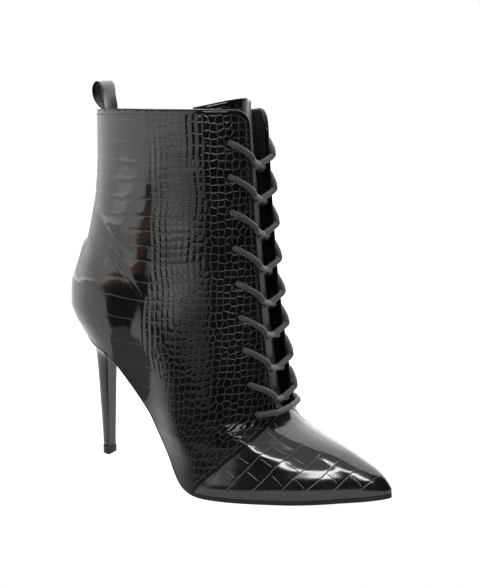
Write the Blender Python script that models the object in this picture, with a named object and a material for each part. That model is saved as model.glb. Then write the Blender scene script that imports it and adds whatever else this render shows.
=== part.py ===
"""Lace-up stiletto ankle bootie with a pointed toe: one right shoe as named solids.

The tables are in millimetres. x runs from the back of the heel to the toe, -y is the
outer side of the foot, +y the inner side, and z = 0 is the floor.
"""
import math
from collections import namedtuple
from functools import lru_cache

import bmesh
import bpy
import numpy as np
from mathutils import Vector

MM = 0.001

# Driving sizes
WALL = 1.6
QUARTER_STEP = 0.9
GAP = 0.3
SOLE_INSET = 0.4
INSOLE_THICK = 1.5
COLLAR_Z = 230.0
FLAP_CORNER_RADII = {"out": 9.0, "in": 13.0}
BREAST_X = 43.5
HOLE_DIAMETER = 4.0
HOLE_SETBACK = 12.5
LACE_DIAMETER = 3.6
LACE_CLEARANCE = 0.4
LACE_SIDES = 8
TOE_SWING = 7.0
SWING_START_X = 110.0
TOE_X = 226.0

# Centre lines of the last, seen from the side
Level = namedtuple("Level", "z x")
BACK_LINE = [
    Level(2, -30), Level(9, -30), Level(18, -25), Level(30, -12), Level(44, 9), Level(52, 14),
    Level(65, 17), Level(82, 14.5), Level(91, 9), Level(98, 4), Level(107, 0.8), Level(117, 1.2),
    Level(140, 9), Level(160, 17.5), Level(180, 22.5), Level(205, 25), Level(230, 25.5),
]
FRONT_LINE = [
    Level(2, 226), Level(9, 226), Level(15, 223), Level(21, 216.5), Level(26, 207.5), Level(31, 197.5),
    Level(36, 184), Level(40, 174), Level(45, 165.5), Level(52, 160), Level(75, 156),
    Level(105, 152.5), Level(140, 148.5), Level(180, 144.5), Level(205, 142.5), Level(230, 141),
]
# Front edge of the flaps, and below the throat the quarter's edge over the vamp
THROAT_Z = 52.0
PANEL_EDGE = [
    Level(2, 113), Level(10, 120), Level(18, 128), Level(26, 136), Level(33, 143.5), Level(38, 148),
    Level(44, 152.6), Level(48, 155.2), Level(THROAT_Z, 156.4), Level(58, 155.2), Level(66, 153.4),
    Level(95, 148.8), Level(140, 143.5), Level(190, 139.2), Level(230, 137),
]
# Height of the top line on each side, from the back seam to the flap's edge
TopLine = namedtuple("TopLine", "share outer inner")
TOP_LINE = [
    TopLine(0, 231, 231), TopLine(0.25, 232.6, 229.8), TopLine(0.5, 234.6, 229.4),
    TopLine(0.75, 235.3, 231.5), TopLine(0.9, 235.2, 234), TopLine(1, 235.2, 235.2),
]
# Underside of the upper along the foot: seat, arch, tread and toe spring
Bottom = namedtuple("Bottom", "x z")
FEATHER = [
    Bottom(2, 90), Bottom(20, 87), Bottom(32, 84), Bottom(42, 81), Bottom(50, 75.5),
    Bottom(58, 67), Bottom(66, 57.2), Bottom(74, 45.8), Bottom(82, 32.8), Bottom(90, 19.8),
    Bottom(98, 9.8), Bottom(106, 4.6), Bottom(114, 3.3), Bottom(165, 3.3), Bottom(185, 3.8),
    Bottom(205, 5.4), Bottom(218, 7.2), Bottom(228, 8.5),
]
# Thickness of the sole along the foot
SoleGauge = namedtuple("SoleGauge", "x thick")
SOLE_GAUGE = [SoleGauge(43, 1.6), SoleGauge(90, 1.8), SoleGauge(112, 2.85), SoleGauge(228, 2.85)]
# Half-widths at five stations along each level section
STATIONS = {"heel": 0.15, "waist": 0.4, "ball": 0.6, "fore": 0.78, "tip": 0.93}
Section = namedtuple("Section", "z heel waist_out waist_in ball_out ball_in fore_out fore_in tip")
SECTIONS = [
    Section(2, 20, 23, 20, 41.5, 37, 28, 26.5, 11),
    Section(7, 20, 23, 20, 41.5, 37, 28, 26.5, 11),
    Section(18, 20, 23, 20, 39.8, 36, 27.6, 26.2, 11),
    Section(30, 21, 24, 21.5, 38.6, 35.4, 30, 28.6, 12.5),
    Section(44, 23.5, 25.5, 23, 37.2, 35, 34.4, 33, 19),
    Section(52, 24, 27, 24.5, 36.6, 34.7, 34.2, 32.8, 20.5),
    Section(70, 25, 29, 27.5, 35.5, 34, 32.5, 31.5, 20),
    Section(100, 26.3, 32, 31.5, 33.5, 33, 30.5, 30.5, 18.7),
    Section(150, 25, 31.2, 31.2, 31.5, 31.5, 27.2, 27.2, 16),
    Section(230, 23, 32.2, 32.2, 33, 33, 27.5, 27.5, 16),
]
# Stiletto heel, level by level from the seat's lip to the top piece
HeelRing = namedtuple("HeelRing", "x_back x_front half_width z_back z_front")
HEEL_RINGS = [
    HeelRing(14.2, 37, 17.5, 82, 74.5),
    HeelRing(15.2, 31, 11, 77, 72.5),
    HeelRing(15.8, 28, 7.4, 70, 68),
    HeelRing(16.4, 27, 6, 61, 60.5),
    HeelRing(17.8, 26.4, 5, 36, 36),
    HeelRing(18.8, 26, 4.4, 18, 18),
    HeelRing(19.2, 25.8, 4.1, 6.0, 6.0),
]
TOP_PIECE_THICK = 5.7
TOP_PIECE_LIP = 0.3
HEEL_LIP = 3.6
SEAT_GAP = 0.45
RING_STEPS = 14
# Lace holes up each flap
HOLE_HEIGHTS = [53.5, 72, 93, 112.5, 133, 154.5, 176, 197, 217]
# Tongue, height by height: depth behind the flaps, half-width and sideways lean
TongueRow = namedtuple("TongueRow", "z depth_mid depth_side half_width lean")
TONGUE_ROWS = [
    TongueRow(44, 2.0, 2.0, 12, 0), TongueRow(50, 5.8, 5.8, 14, 0), TongueRow(64, 10.3, 6.8, 15, 0),
    TongueRow(90, 11.8, 6.8, 15.5, -1), TongueRow(120, 11.4, 6.8, 16, -2),
    TongueRow(180, 10.2, 6.8, 17, -8), TongueRow(241.6, 9.8, 6.8, 17, -14),
]
TONGUE_THICK = 1.6
TONGUE_ARCH = 3.3
TONGUE_PEAK = 0.25
TONGUE_RIDGE = 9.0
# Pull loop at the back of the collar
LOOP_WIDTH = 15.0
LOOP_STRAP = 1.4
LOOP_LEG_DEPTH = 11.0
LOOP_HEIGHT = 20.0
LOOP_GAP = 5.6
LOOP_LEAN = -2.8
LOOP_BELLY = 11.5
LOOP_NECK = 2.4
LOOP_STEPS = 4
LOOP_SLICES = 2
# Grid of the upper
QUARTER_COLUMNS = 19
CORNER_SHARES = [0.67, 0.33, 0.11, 0.0]
VAMP_COLUMNS = 10
SHAFT_ROWS = 16
VAMP_ROWS = 10


class Curve:
    """Smooth monotone curve through a table's points, level beyond both ends."""

    def __init__(self, points):
        points = sorted(points)
        self.x = np.array([p[0] for p in points], float)
        self.y = np.array([p[1] for p in points], float)
        step = np.diff(self.x)
        slope = np.diff(self.y) / step
        self.d = np.zeros(len(points))
        for i in range(1, len(points) - 1):
            if slope[i - 1] * slope[i] > 0:
                w1 = 2 * step[i] + step[i - 1]
                w2 = step[i] + 2 * step[i - 1]
                self.d[i] = (w1 + w2) / (w1 / slope[i - 1] + w2 / slope[i])
        self.d[0] = slope[0]
        self.d[-1] = slope[-1]

    def __call__(self, x):
        x = min(max(x, self.x[0]), self.x[-1])
        i = min(max(int(np.searchsorted(self.x, x)) - 1, 0), len(self.x) - 2)
        h = self.x[i + 1] - self.x[i]
        t = (x - self.x[i]) / h
        a = (1 + 2 * t) * (1 - t) ** 2 * self.y[i] + t * t * (3 - 2 * t) * self.y[i + 1]
        b = t * (1 - t) ** 2 * h * self.d[i] - t * t * (1 - t) * h * self.d[i + 1]
        return float(a + b)


back_x = Curve([(p.z, p.x) for p in BACK_LINE])
front_x = Curve([(p.z, p.x) for p in FRONT_LINE])
edge_x = Curve([(p.z, p.x) for p in PANEL_EDGE])
feather_z = Curve([(p.x, p.z) for p in FEATHER])
sole_thick = Curve([(p.x, p.thick) for p in SOLE_GAUGE])
TOP_CURVES = {"out": Curve([(p.share, p.outer) for p in TOP_LINE]),
              "in": Curve([(p.share, p.inner) for p in TOP_LINE])}
STATION_ANGLES = {name: math.acos(1 - 2 * c) for name, c in STATIONS.items()}


def column_curves(side):
    names = {"out": ["heel", "waist_out", "ball_out", "fore_out", "tip"],
             "in": ["heel", "waist_in", "ball_in", "fore_in", "tip"]}[side]
    return [Curve([(s.z, getattr(s, name)) for s in SECTIONS]) for name in names]


WIDTH_CURVES = {side: column_curves(side) for side in ("out", "in")}
SIGN = {"out": -1, "in": 1}


@lru_cache(maxsize=None)
def fullness(side, z):
    """Half-width over sine of the angle, as a curve round one level section."""
    angles = STATION_ANGLES.values()
    knots = [(a, w(z) / math.sin(a)) for a, w in zip(angles, WIDTH_CURVES[side])]
    curve = Curve(knots)
    curve.d[0] = 0
    curve.d[-1] = 0
    return curve


def swing(x):
    """Sideways shift of the forefoot towards the inner side."""
    return TOE_SWING * (max(x - SWING_START_X, 0) / (TOE_X - SWING_START_X)) ** 2


def base_point(side, angle, z):
    """Point of the last's outer form: angle 0 is the back seam and pi the front line."""
    rear = back_x(z)
    x = rear + (front_x(z) - rear) * (1 - math.cos(angle)) / 2
    half = fullness(side, z)(angle) * math.sin(angle)
    return np.array([x, swing(x) + SIGN[side] * half, z])


def outward(side, angle, z):
    d_angle = 1e-3
    d_z = 0.05
    along = base_point(side, angle + d_angle, z) - base_point(side, angle - d_angle, z)
    up = base_point(side, angle, z + d_z) - base_point(side, angle, z - d_z)
    normal = np.cross(along, up) * -SIGN[side]
    return normal / np.linalg.norm(normal)


def skin_point(side, angle, z, offset):
    return base_point(side, angle, z) + outward(side, angle, z) * offset


def angle_at_x(x, z):
    rear = back_x(z)
    c = (x - rear) / (front_x(z) - rear)
    return math.acos(1 - 2 * min(max(c, 0), 1))


def edge_angle(z):
    return angle_at_x(edge_x(z), z)


def setback_angle(side, z, setback):
    """Angle of the point that lies setback millimetres behind the flap's edge."""
    angle = edge_angle(z)
    steps = 10
    for _ in range(steps):
        speed = np.linalg.norm(base_point(side, angle + 0.01, z) - base_point(side, angle - 0.01, z)) / 0.02
        angle -= setback / steps / speed
    return angle


def solve(function, low, high):
    """Root of a function that is below zero at low and above zero at high."""
    for _ in range(40):
        middle = (low + high) / 2
        if function(middle) < 0:
            low = middle
        else:
            high = middle
    return (low + high) / 2


def feather_level(side, angle_of_z):
    """Height where a column of the upper meets its underside."""
    def above(z):
        return z - feather_z(base_point(side, angle_of_z(z), z)[0])
    return solve(above, 2.0, 95.0)


# Helpers that turn points into objects
def new_material(name, color, roughness, metallic=0.0):
    material = bpy.data.materials.new(name)
    material.use_nodes = True
    shader = material.node_tree.nodes["Principled BSDF"]
    shader.inputs["Base Color"].default_value = (*color, 1)
    shader.inputs["Roughness"].default_value = roughness
    shader.inputs["Metallic"].default_value = metallic
    material.diffuse_color = (*color, 1)
    return material


def mesh_object(name, points, faces, material, collection):
    """Closed mesh from points in millimetres, faces turned outwards."""
    mesh = bpy.data.meshes.new(name)
    mesh.from_pydata([tuple(np.asarray(p) * MM) for p in points], [], faces)
    shape = bmesh.new()
    shape.from_mesh(mesh)
    bmesh.ops.triangulate(shape, faces=shape.faces)
    bmesh.ops.recalc_face_normals(shape, faces=shape.faces)
    shape.to_mesh(mesh)
    shape.free()
    thing = bpy.data.objects.new(name, mesh)
    mesh.materials.append(material)
    collection.objects.link(thing)
    return thing


def apply_modifiers(thing):
    """Replace the object's mesh by its evaluated form."""
    graph = bpy.context.evaluated_depsgraph_get()
    mesh = bpy.data.meshes.new_from_object(thing.evaluated_get(graph))
    thing.modifiers.clear()
    thing.data = mesh


class Grid:
    """Collects points and faces of one body."""

    def __init__(self):
        self.points = []
        self.faces = []

    def add(self, point):
        self.points.append(point)
        return len(self.points) - 1

    def strip(self, first, second):
        """Quads between two rows of point numbers."""
        for a, b, c, d in zip(first, first[1:], second[1:], second):
            corners = list(dict.fromkeys((a, b, c, d)))
            if len(corners) > 2:
                self.faces.append(corners)


def ladder(grid, rows, closed=False):
    for first, second in zip(rows, rows[1:]):
        grid.strip(first, second)
    if closed:
        grid.strip(rows[-1], rows[0])


# Upper: vamp, quarters and shaft as one hollow wall
def quarter_columns(side):
    """Angle functions of the columns from the back seam to the flap's front edge."""
    radius = FLAP_CORNER_RADII[side]

    def even(share):
        return lambda z: share * setback_angle(side, z, radius)

    def near(setback):
        return lambda z: setback_angle(side, z, setback)
    inner = [even(i / QUARTER_COLUMNS) for i in range(QUARTER_COLUMNS + 1)]
    return inner + [near(share * radius) for share in CORNER_SHARES]


def vamp_columns():
    def between(share):
        return lambda z: edge_angle(z) + share * (math.pi - edge_angle(z))
    return [between(i / VAMP_COLUMNS) for i in range(VAMP_COLUMNS + 1)]


def corner_drop(side, share):
    """How far the rounded corner lies under the top line at a share of its radius behind the flap's edge."""
    return FLAP_CORNER_RADII[side] * (1 - math.sqrt(1 - (1 - share) ** 2))


def top_level(side, angle):
    """Height of the top line above a column, before the flap's rounded corner."""
    return TOP_CURVES[side](angle / edge_angle(COLLAR_Z))


def row_shares(side):
    """Shares of a column's height: an even run to the throat, then an even run to the feather."""
    edge_top = top_level(side, edge_angle(COLLAR_Z)) - FLAP_CORNER_RADII[side]
    edge_foot = feather_level(side, edge_angle)
    throat = (edge_top - THROAT_Z) / (edge_top - edge_foot)
    upper_run = [throat * i / SHAFT_ROWS for i in range(SHAFT_ROWS)]
    lower_run = [throat + (1 - throat) * i / VAMP_ROWS for i in range(VAMP_ROWS + 1)]
    return upper_run + lower_run


def column_points(side, angle_of_z, top, shares, offset):
    """Points down one column, the last one on the underside."""
    foot = feather_level(side, angle_of_z)
    points = []
    for share in shares:
        z = top + (foot - top) * share
        points.append(skin_point(side, angle_of_z(z), z, offset))
    points[-1][2] = feather_z(points[-1][0])
    return points


def build_upper(material, collection):
    grid = Grid()
    runs = {side: row_shares(side) for side in ("out", "in")}
    throat_row = SHAFT_ROWS
    vamp_shares = [i / VAMP_ROWS for i in range(VAMP_ROWS + 1)]
    corner_shares = [1] * (QUARTER_COLUMNS + 1) + CORNER_SHARES

    def quarter(side, offset, shared_back):
        columns = []
        for number, angle_of_z in enumerate(quarter_columns(side)):
            if number == 0 and shared_back:
                columns.append(shared_back)
                continue
            top = top_level(side, angle_of_z(COLLAR_Z)) - corner_drop(side, corner_shares[number])
            points = column_points(side, angle_of_z, top, runs[side], offset)
            columns.append([grid.add(p) for p in points])
        return columns

    def vamp(side, offset, first, ridge):
        columns = [first]
        for angle_of_z in vamp_columns()[1:-1]:
            points = column_points(side, angle_of_z, THROAT_Z, vamp_shares, offset)
            columns.append([grid.add(p) for p in points])
        return columns + [ridge]

    layers = {}
    for layer, quarter_offset, vamp_offset in (("outer", QUARTER_STEP, 0), ("inner", -WALL, -WALL)):
        ridge_points = column_points("out", vamp_columns()[-1], THROAT_Z, vamp_shares, vamp_offset)
        ridge = [grid.add(p) for p in ridge_points]
        back = None
        for side in ("out", "in"):
            quarters = quarter(side, quarter_offset, back)
            back = quarters[0]
            first = quarters[-1][throat_row:]
            if layer == "outer":
                edge_points = column_points(side, edge_angle, THROAT_Z, vamp_shares, vamp_offset)
                first = [grid.add(p) for p in edge_points]
                ladder(grid, [quarters[-1][throat_row:], first])
            vamps = vamp(side, vamp_offset, first, ridge)
            ladder(grid, quarters)
            ladder(grid, vamps)
            layers[layer, side] = (quarters, vamps)
    for side in ("out", "in"):
        quarters, vamps = layers["outer", side]
        lining, vamp_lining = layers["inner", side]
        grid.strip([c[0] for c in quarters], [c[0] for c in lining])
        grid.strip(quarters[-1][:throat_row + 1], lining[-1][:throat_row + 1])
        grid.strip([c[0] for c in vamps], [c[0] for c in vamp_lining])
        grid.strip([c[-1] for c in quarters], [c[-1] for c in lining])
        grid.strip([c[-1] for c in vamps], [c[-1] for c in vamp_lining])
        for row, corner in ((throat_row, 0), (-1, -1)):
            grid.faces.append([quarters[-1][row], vamps[0][corner], lining[-1][row]])
    upper = mesh_object("upper", grid.points, grid.faces, material, collection)
    return upper


def build_hole_cutter(collection):
    """One mesh of pins that punches the lace holes through both flaps."""
    shape = bmesh.new()
    length = 14
    for side in ("out", "in"):
        for z in HOLE_HEIGHTS:
            angle = setback_angle(side, z, HOLE_SETBACK)
            axis = Vector(outward(side, angle, z))
            centre = Vector(base_point(side, angle, z))
            turn = axis.to_track_quat("Z", "Y").to_matrix().to_4x4()
            made = bmesh.ops.create_cone(shape, cap_ends=True, segments=8, radius1=HOLE_DIAMETER / 2 * MM,
                                         radius2=HOLE_DIAMETER / 2 * MM, depth=length * MM, matrix=turn)
            bmesh.ops.translate(shape, verts=made["verts"], vec=centre * MM)
    mesh = bpy.data.meshes.new("hole_cutter")
    shape.to_mesh(mesh)
    shape.free()
    cutter = bpy.data.objects.new("hole_cutter", mesh)
    cutter.hide_render = True
    cutter.display_type = "WIRE"
    collection.objects.link(cutter)
    return cutter


def punch(thing, cutter):
    cut = thing.modifiers.new("lace holes", "BOOLEAN")
    cut.operation = "DIFFERENCE"
    cut.object = cutter


# Sole and insole
def sole_normal(x):
    """Unit vector that points down and away from the foot, in the side view."""
    slope = (feather_z(x + 0.5) - feather_z(x - 0.5))
    return np.array([slope, 0, -1]) / math.hypot(slope, 1)


def sole_edges(x):
    """Outer and inner edge of the sole under the upper's outline."""
    z = feather_z(x)
    angle = angle_at_x(x, z)
    out = base_point("out", angle, z)[1] + SOLE_INSET
    inn = base_point("in", angle, z)[1] - SOLE_INSET
    middle = swing(x)
    return min(out, middle - 0.5), max(inn, middle + 0.5)


def sole_stations():
    """Stations from the heel breast to the toe, closer together at the toe's tip."""
    tip = front_x(feather_z(TOE_X)) - SOLE_INSET
    count = 44
    return [BREAST_X + (tip - BREAST_X) * math.sin(math.pi / 2 * i / count) for i in range(count + 1)]


def build_outsole(material, collection):
    grid = Grid()
    rings = []
    for x in sole_stations():
        down = sole_normal(x)
        seat = np.array([x, 0, feather_z(x)]) + down * SEAT_GAP
        edges = sole_edges(x)
        top = [grid.add(seat + np.array([0, y, 0])) for y in edges]
        low = [grid.add(seat + down * sole_thick(x) + np.array([0, y, 0])) for y in edges]
        rings.append([top[0], top[1], low[1], low[0], top[0]])
    ladder(grid, rings)
    grid.faces.append(rings[0][:4])
    grid.faces.append(rings[-1][:4])
    return mesh_object("outsole", grid.points, grid.faces, material, collection)


def build_insole(material, collection):
    grid = Grid()
    rings = []
    count = 44
    clearance = WALL + 1.7
    lift = 2.0
    for i in range(1, count):
        share = i / count
        ends = []
        for side in ("out", "in"):
            def angle_of_z(z):
                return share * math.pi
            z = feather_level(side, angle_of_z) + lift
            ends.append(skin_point(side, share * math.pi, z, -clearance))
        low = []
        high = []
        for point in ends:
            up = -sole_normal(point[0])
            foot = np.array([point[0], point[1], feather_z(point[0])])
            low.append(grid.add(foot + up * GAP))
            high.append(grid.add(foot + up * (GAP + INSOLE_THICK)))
        rings.append([high[0], high[1], low[1], low[0], high[0]])
    ladder(grid, rings)
    grid.faces.append(rings[0][:4])
    grid.faces.append(rings[-1][:4])
    return mesh_object("insole", grid.points, grid.faces, material, collection)


# Heel and its top piece
def heel_angles():
    return [math.pi / 2 * i / RING_STEPS for i in range(-RING_STEPS, RING_STEPS + 1)]


def seat_ring(drop, inset):
    """U-shaped ring under the upper's heel, following its outline and slope."""
    points = []
    front = BREAST_X - GAP
    rear = solve(lambda x: x - back_x(feather_z(x)), 2.0, 20.0) + inset
    for turn in heel_angles():
        x = rear + (front - rear) * (1 - math.cos(turn))
        z = feather_z(x)
        side = "out" if turn < 0 else "in"
        y = base_point(side, angle_at_x(x - inset, z), z)[1]
        y -= math.copysign(min(inset, abs(y) / 2), turn)
        points.append(np.array([x, y, z]) + sole_normal(x) * (SEAT_GAP + drop))
    return points


def stem_ring(ring):
    points = []
    for turn in heel_angles():
        share = 1 - math.cos(turn)
        x = ring.x_back + (ring.x_front - ring.x_back) * share
        z = ring.z_back + (ring.z_front - ring.z_back) * share
        points.append(np.array([x, ring.half_width * math.sin(turn), z]))
    return points


def ring_stack(name, rings, material, collection):
    """Closed body through U-shaped rings, with ruled ends."""
    grid = Grid()
    rows = [[grid.add(p) for p in ring] for ring in rings]
    for row in rows:
        row.append(row[0])
    ladder(grid, rows)
    for row in (rows[0], rows[-1]):
        half = RING_STEPS + 1
        grid.strip(row[:half], row[2 * RING_STEPS:RING_STEPS - 1:-1])
    return mesh_object(name, grid.points, grid.faces, material, collection)


def build_heel(material, collection):
    rings = [seat_ring(0, 0.4), seat_ring(HEEL_LIP, 1.2)] + [stem_ring(ring) for ring in HEEL_RINGS]
    return ring_stack("heel", rings, material, collection)


def build_top_piece(material, collection):
    last = HEEL_RINGS[-1]
    rings = []
    for z in (TOP_PIECE_THICK, 0.0):
        rings.append(stem_ring(HeelRing(last.x_back - TOP_PIECE_LIP, last.x_front + TOP_PIECE_LIP,
                                        last.half_width + TOP_PIECE_LIP, z, z)))
    return ring_stack("heel_top_piece", rings, material, collection)


# Tongue
def side_and_angle(z, y):
    """Where a level section's front half passes a given y, measured from its front line."""
    side = "out" if y < 0 else "in"
    mid = swing(front_x(z))
    angle = solve(lambda a: abs(y) - abs(base_point(side, a, z)[1] - mid), math.pi / 2, math.pi)
    return side, angle


def build_tongue(material, collection):
    grid = Grid()
    fields = {name: Curve([(row.z, getattr(row, name)) for row in TONGUE_ROWS])
              for name in TongueRow._fields[1:]}
    rows = 20
    columns = 10
    bottom = TONGUE_ROWS[0].z
    top = TONGUE_ROWS[-1].z
    faces_of = {0.0: [], TONGUE_THICK: []}
    for depth, sheet in faces_of.items():
        for i in range(rows + 1):
            line = []
            for j in range(columns + 1):
                across = 2 * j / columns - 1
                drop = TONGUE_ARCH * (across - TONGUE_PEAK) ** 2
                z = bottom + (top - drop - bottom) * i / rows
                y = fields["lean"](z) + across * fields["half_width"](z)
                side, angle = side_and_angle(z, y)
                middle = math.exp(-(y / TONGUE_RIDGE) ** 2)
                behind = fields["depth_side"](z) * (1 - middle) + fields["depth_mid"](z) * middle
                line.append(grid.add(skin_point(side, angle, z, -behind - depth)))
            sheet.append(line)
    front, rear = faces_of.values()
    ladder(grid, front)
    ladder(grid, rear)
    for pick in (lambda s: s[0], lambda s: s[-1], lambda s: [r[0] for r in s], lambda s: [r[-1] for r in s]):
        grid.strip(pick(front), pick(rear))
    return mesh_object("tongue", grid.points, grid.faces, material, collection)


# Pull loop
def loop_side(sign, extra):
    """One side of the loop's head in the side view, from its neck up to its crown."""
    leg = back_x(COLLAR_Z) + WALL + GAP + LOOP_STRAP
    neck = COLLAR_Z + LOOP_NECK
    belly = neck + LOOP_BELLY
    half_gap = LOOP_GAP / 2
    crown_rise = LOOP_HEIGHT - LOOP_STRAP - (belly - COLLAR_Z)
    points = []
    for i in range(LOOP_STEPS):
        share = i / LOOP_STEPS
        ease = 1 - (1 - share) ** 3
        points.append((leg + LOOP_LEAN * ease + sign * (extra + half_gap * ease), neck + LOOP_BELLY * share))
    for i in range(LOOP_STEPS + 1):
        turn = math.pi / 2 * i / LOOP_STEPS
        x = leg + LOOP_LEAN + sign * (half_gap + extra) * math.cos(turn)
        points.append((x, belly + (crown_rise + extra) * math.sin(turn)))
    return points


def collar_bow(y):
    """How far the back of the collar curves forward at a distance from the back seam."""
    angle = solve(lambda a: base_point("in", a, COLLAR_Z)[1] - abs(y), 0, 1)
    return base_point("in", angle, COLLAR_Z)[0] - back_x(COLLAR_Z)


def leg_share(z):
    """One on the strap's legs, falling to zero at the belly of its loop."""
    share = min(max((z - COLLAR_Z - LOOP_NECK) / LOOP_BELLY, 0), 1)
    return 1 - share * share * (3 - 2 * share)


def build_pull_loop(material, collection):
    """A strap folded over itself, drawn out to its width from its side view."""
    grid = Grid()
    base = COLLAR_Z - LOOP_LEG_DEPTH
    slices = []
    for i in range(-LOOP_SLICES, LOOP_SLICES + 1):
        y = LOOP_WIDTH / 2 * i / LOOP_SLICES
        bow = collar_bow(y)

        def place(points):
            return [grid.add(np.array([x + bow * leg_share(z), y, z])) for x, z in points]
        left = place(loop_side(-1, LOOP_STRAP))
        right = place(loop_side(1, LOOP_STRAP)[:-1]) + [left[-1]]
        hole_left = place(loop_side(-1, 0))
        hole_right = [hole_left[0]] + place(loop_side(1, 0)[1:-1]) + [hole_left[-1]]
        feet = place([(loop_side(-1, LOOP_STRAP)[0][0], base), (loop_side(1, LOOP_STRAP)[0][0], base)])
        if abs(i) == LOOP_SLICES:
            grid.strip(left, hole_left)
            grid.strip(right, hole_right)
            grid.faces.append([feet[0], feet[1], right[0], hole_left[0], left[0]])
        slices.append((feet[::-1] + left + right[-2::-1] + [feet[1]], hole_left + hole_right[-2::-1]))
    for outlines in zip(*slices):
        ladder(grid, outlines)
    return mesh_object("pull_loop", grid.points, grid.faces, material, collection)


# Lace
def lace_place(side, z, setback, face):
    """Point of the lace's centre line outside or inside a flap."""
    lift = LACE_DIAMETER / 2 + LACE_CLEARANCE
    offset = {"outside": QUARTER_STEP + lift, "inside": -WALL - lift}[face]
    return skin_point(side, setback_angle(side, z, setback), z, offset)


def tube(grid, path, radius):
    """Closed round tube along a path of points."""
    rings = []
    for i, point in enumerate(path):
        ahead = np.asarray(path[min(i + 1, len(path) - 1)]) - np.asarray(path[max(i - 1, 0)])
        ahead = ahead / np.linalg.norm(ahead)
        aside = np.cross(ahead, (0, 0, 1))
        aside = aside / np.linalg.norm(aside)
        over = np.cross(aside, ahead)
        ring = []
        for k in range(LACE_SIDES):
            turn = 2 * math.pi * k / LACE_SIDES
            ring.append(grid.add(point + radius * (math.cos(turn) * aside + math.sin(turn) * over)))
        rings.append(ring + [ring[0]])
    ladder(grid, rings)
    grid.faces.append(rings[0][:-1])
    grid.faces.append(rings[-1][:-1])


def crossing_path(low_side, high_side, low_z, high_z):
    """From behind one flap, up across the gap and over the other flap to its next hole."""
    rise = high_z - low_z
    return [
        lace_place(low_side, low_z + 0.03 * rise, 7.0, "inside"),
        lace_place(low_side, low_z + 0.16 * rise, 1.0, "inside"),
        lace_place(high_side, low_z + 0.46 * rise, -0.5, "outside"),
        lace_place(high_side, low_z + 0.86 * rise, 8.0, "outside"),
    ]


def build_crossing(number, material, collection):
    """Two tubes that cross in the gap, joined into one body."""
    low_z = HOLE_HEIGHTS[number - 1]
    high_z = HOLE_HEIGHTS[number]
    pieces = []
    for low_side, high_side in (("in", "out"), ("out", "in")):
        grid = Grid()
        tube(grid, crossing_path(low_side, high_side, low_z, high_z), LACE_DIAMETER / 2)
        pieces.append(mesh_object(f"lace_crossing_{number}", grid.points, grid.faces, material, collection))
    first, second = pieces
    join = first.modifiers.new("join", "BOOLEAN")
    join.operation = "UNION"
    join.object = second
    apply_modifiers(first)
    bpy.data.objects.remove(second)
    return first


def build_bar(material, collection):
    z = HOLE_HEIGHTS[0]
    near = [lace_place("out", z, setback, "outside") for setback in (8.0, 3.0, -0.5)]
    far = [lace_place("in", z, setback, "outside") for setback in (-0.5, 3.0, 8.0)]
    grid = Grid()
    tube(grid, near + far, LACE_DIAMETER / 2)
    return mesh_object("lace_bar", grid.points, grid.faces, material, collection)


def centre_on_floor(root, things):
    """Move the shoe so that its box stands centred on the origin."""
    bpy.context.view_layer.update()
    graph = bpy.context.evaluated_depsgraph_get()
    corners = []
    for thing in things:
        solid = thing.evaluated_get(graph).to_mesh()
        corners += [thing.matrix_world @ v.co for v in solid.vertices]
    xs = [c.x for c in corners]
    ys = [c.y for c in corners]
    root.location = (-(min(xs) + max(xs)) / 2, -(min(ys) + max(ys)) / 2, 0)
    for thing in things:
        thing.parent = root


def main():
    for thing in list(bpy.data.objects):
        bpy.data.objects.remove(thing)
    shoe = bpy.data.collections.new("stiletto_bootie")
    cutters = bpy.data.collections.new("cutters")
    bpy.context.scene.collection.children.link(shoe)
    bpy.context.scene.collection.children.link(cutters)

    patent = new_material("embossed patent leather", (0.012, 0.012, 0.014), 0.16)
    rubber = new_material("black sole leather", (0.01, 0.01, 0.01), 0.45)
    gloss = new_material("gloss heel cover", (0.015, 0.015, 0.017), 0.15)
    hard_rubber = new_material("heel top piece", (0.01, 0.01, 0.01), 0.5)
    lining = new_material("insole lining", (0.02, 0.022, 0.035), 0.6)
    tongue_skin = new_material("tongue leather", (0.012, 0.012, 0.014), 0.2)
    strap = new_material("pull strap", (0.03, 0.03, 0.032), 0.5)
    cord = new_material("lace cord", (0.05, 0.05, 0.055), 0.7)

    upper = build_upper(patent, shoe)
    cutter = build_hole_cutter(cutters)
    punch(upper, cutter)
    things = [
        upper,
        build_outsole(rubber, shoe),
        build_heel(gloss, shoe),
        build_top_piece(hard_rubber, shoe),
        build_insole(lining, shoe),
        build_tongue(tongue_skin, shoe),
        build_pull_loop(strap, shoe),
        build_bar(cord, shoe),
    ]
    for number in range(1, len(HOLE_HEIGHTS)):
        things.append(build_crossing(number, cord, shoe))
    root = bpy.data.objects.new("shoe_origin", None)
    shoe.objects.link(root)
    centre_on_floor(root, things)
    cutter.parent = root


main()
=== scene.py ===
"""Looks of the lace-up stiletto bootie: embossed patent upper, lacing, sole, heel and studio.

Shapes are worked out in millimetres in the shoe's own frame, as in the part's source: x runs
from the back of the heel to the toe, -y is the outer side, z = 0 is the floor.
"""
import math
from collections import namedtuple

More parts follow.
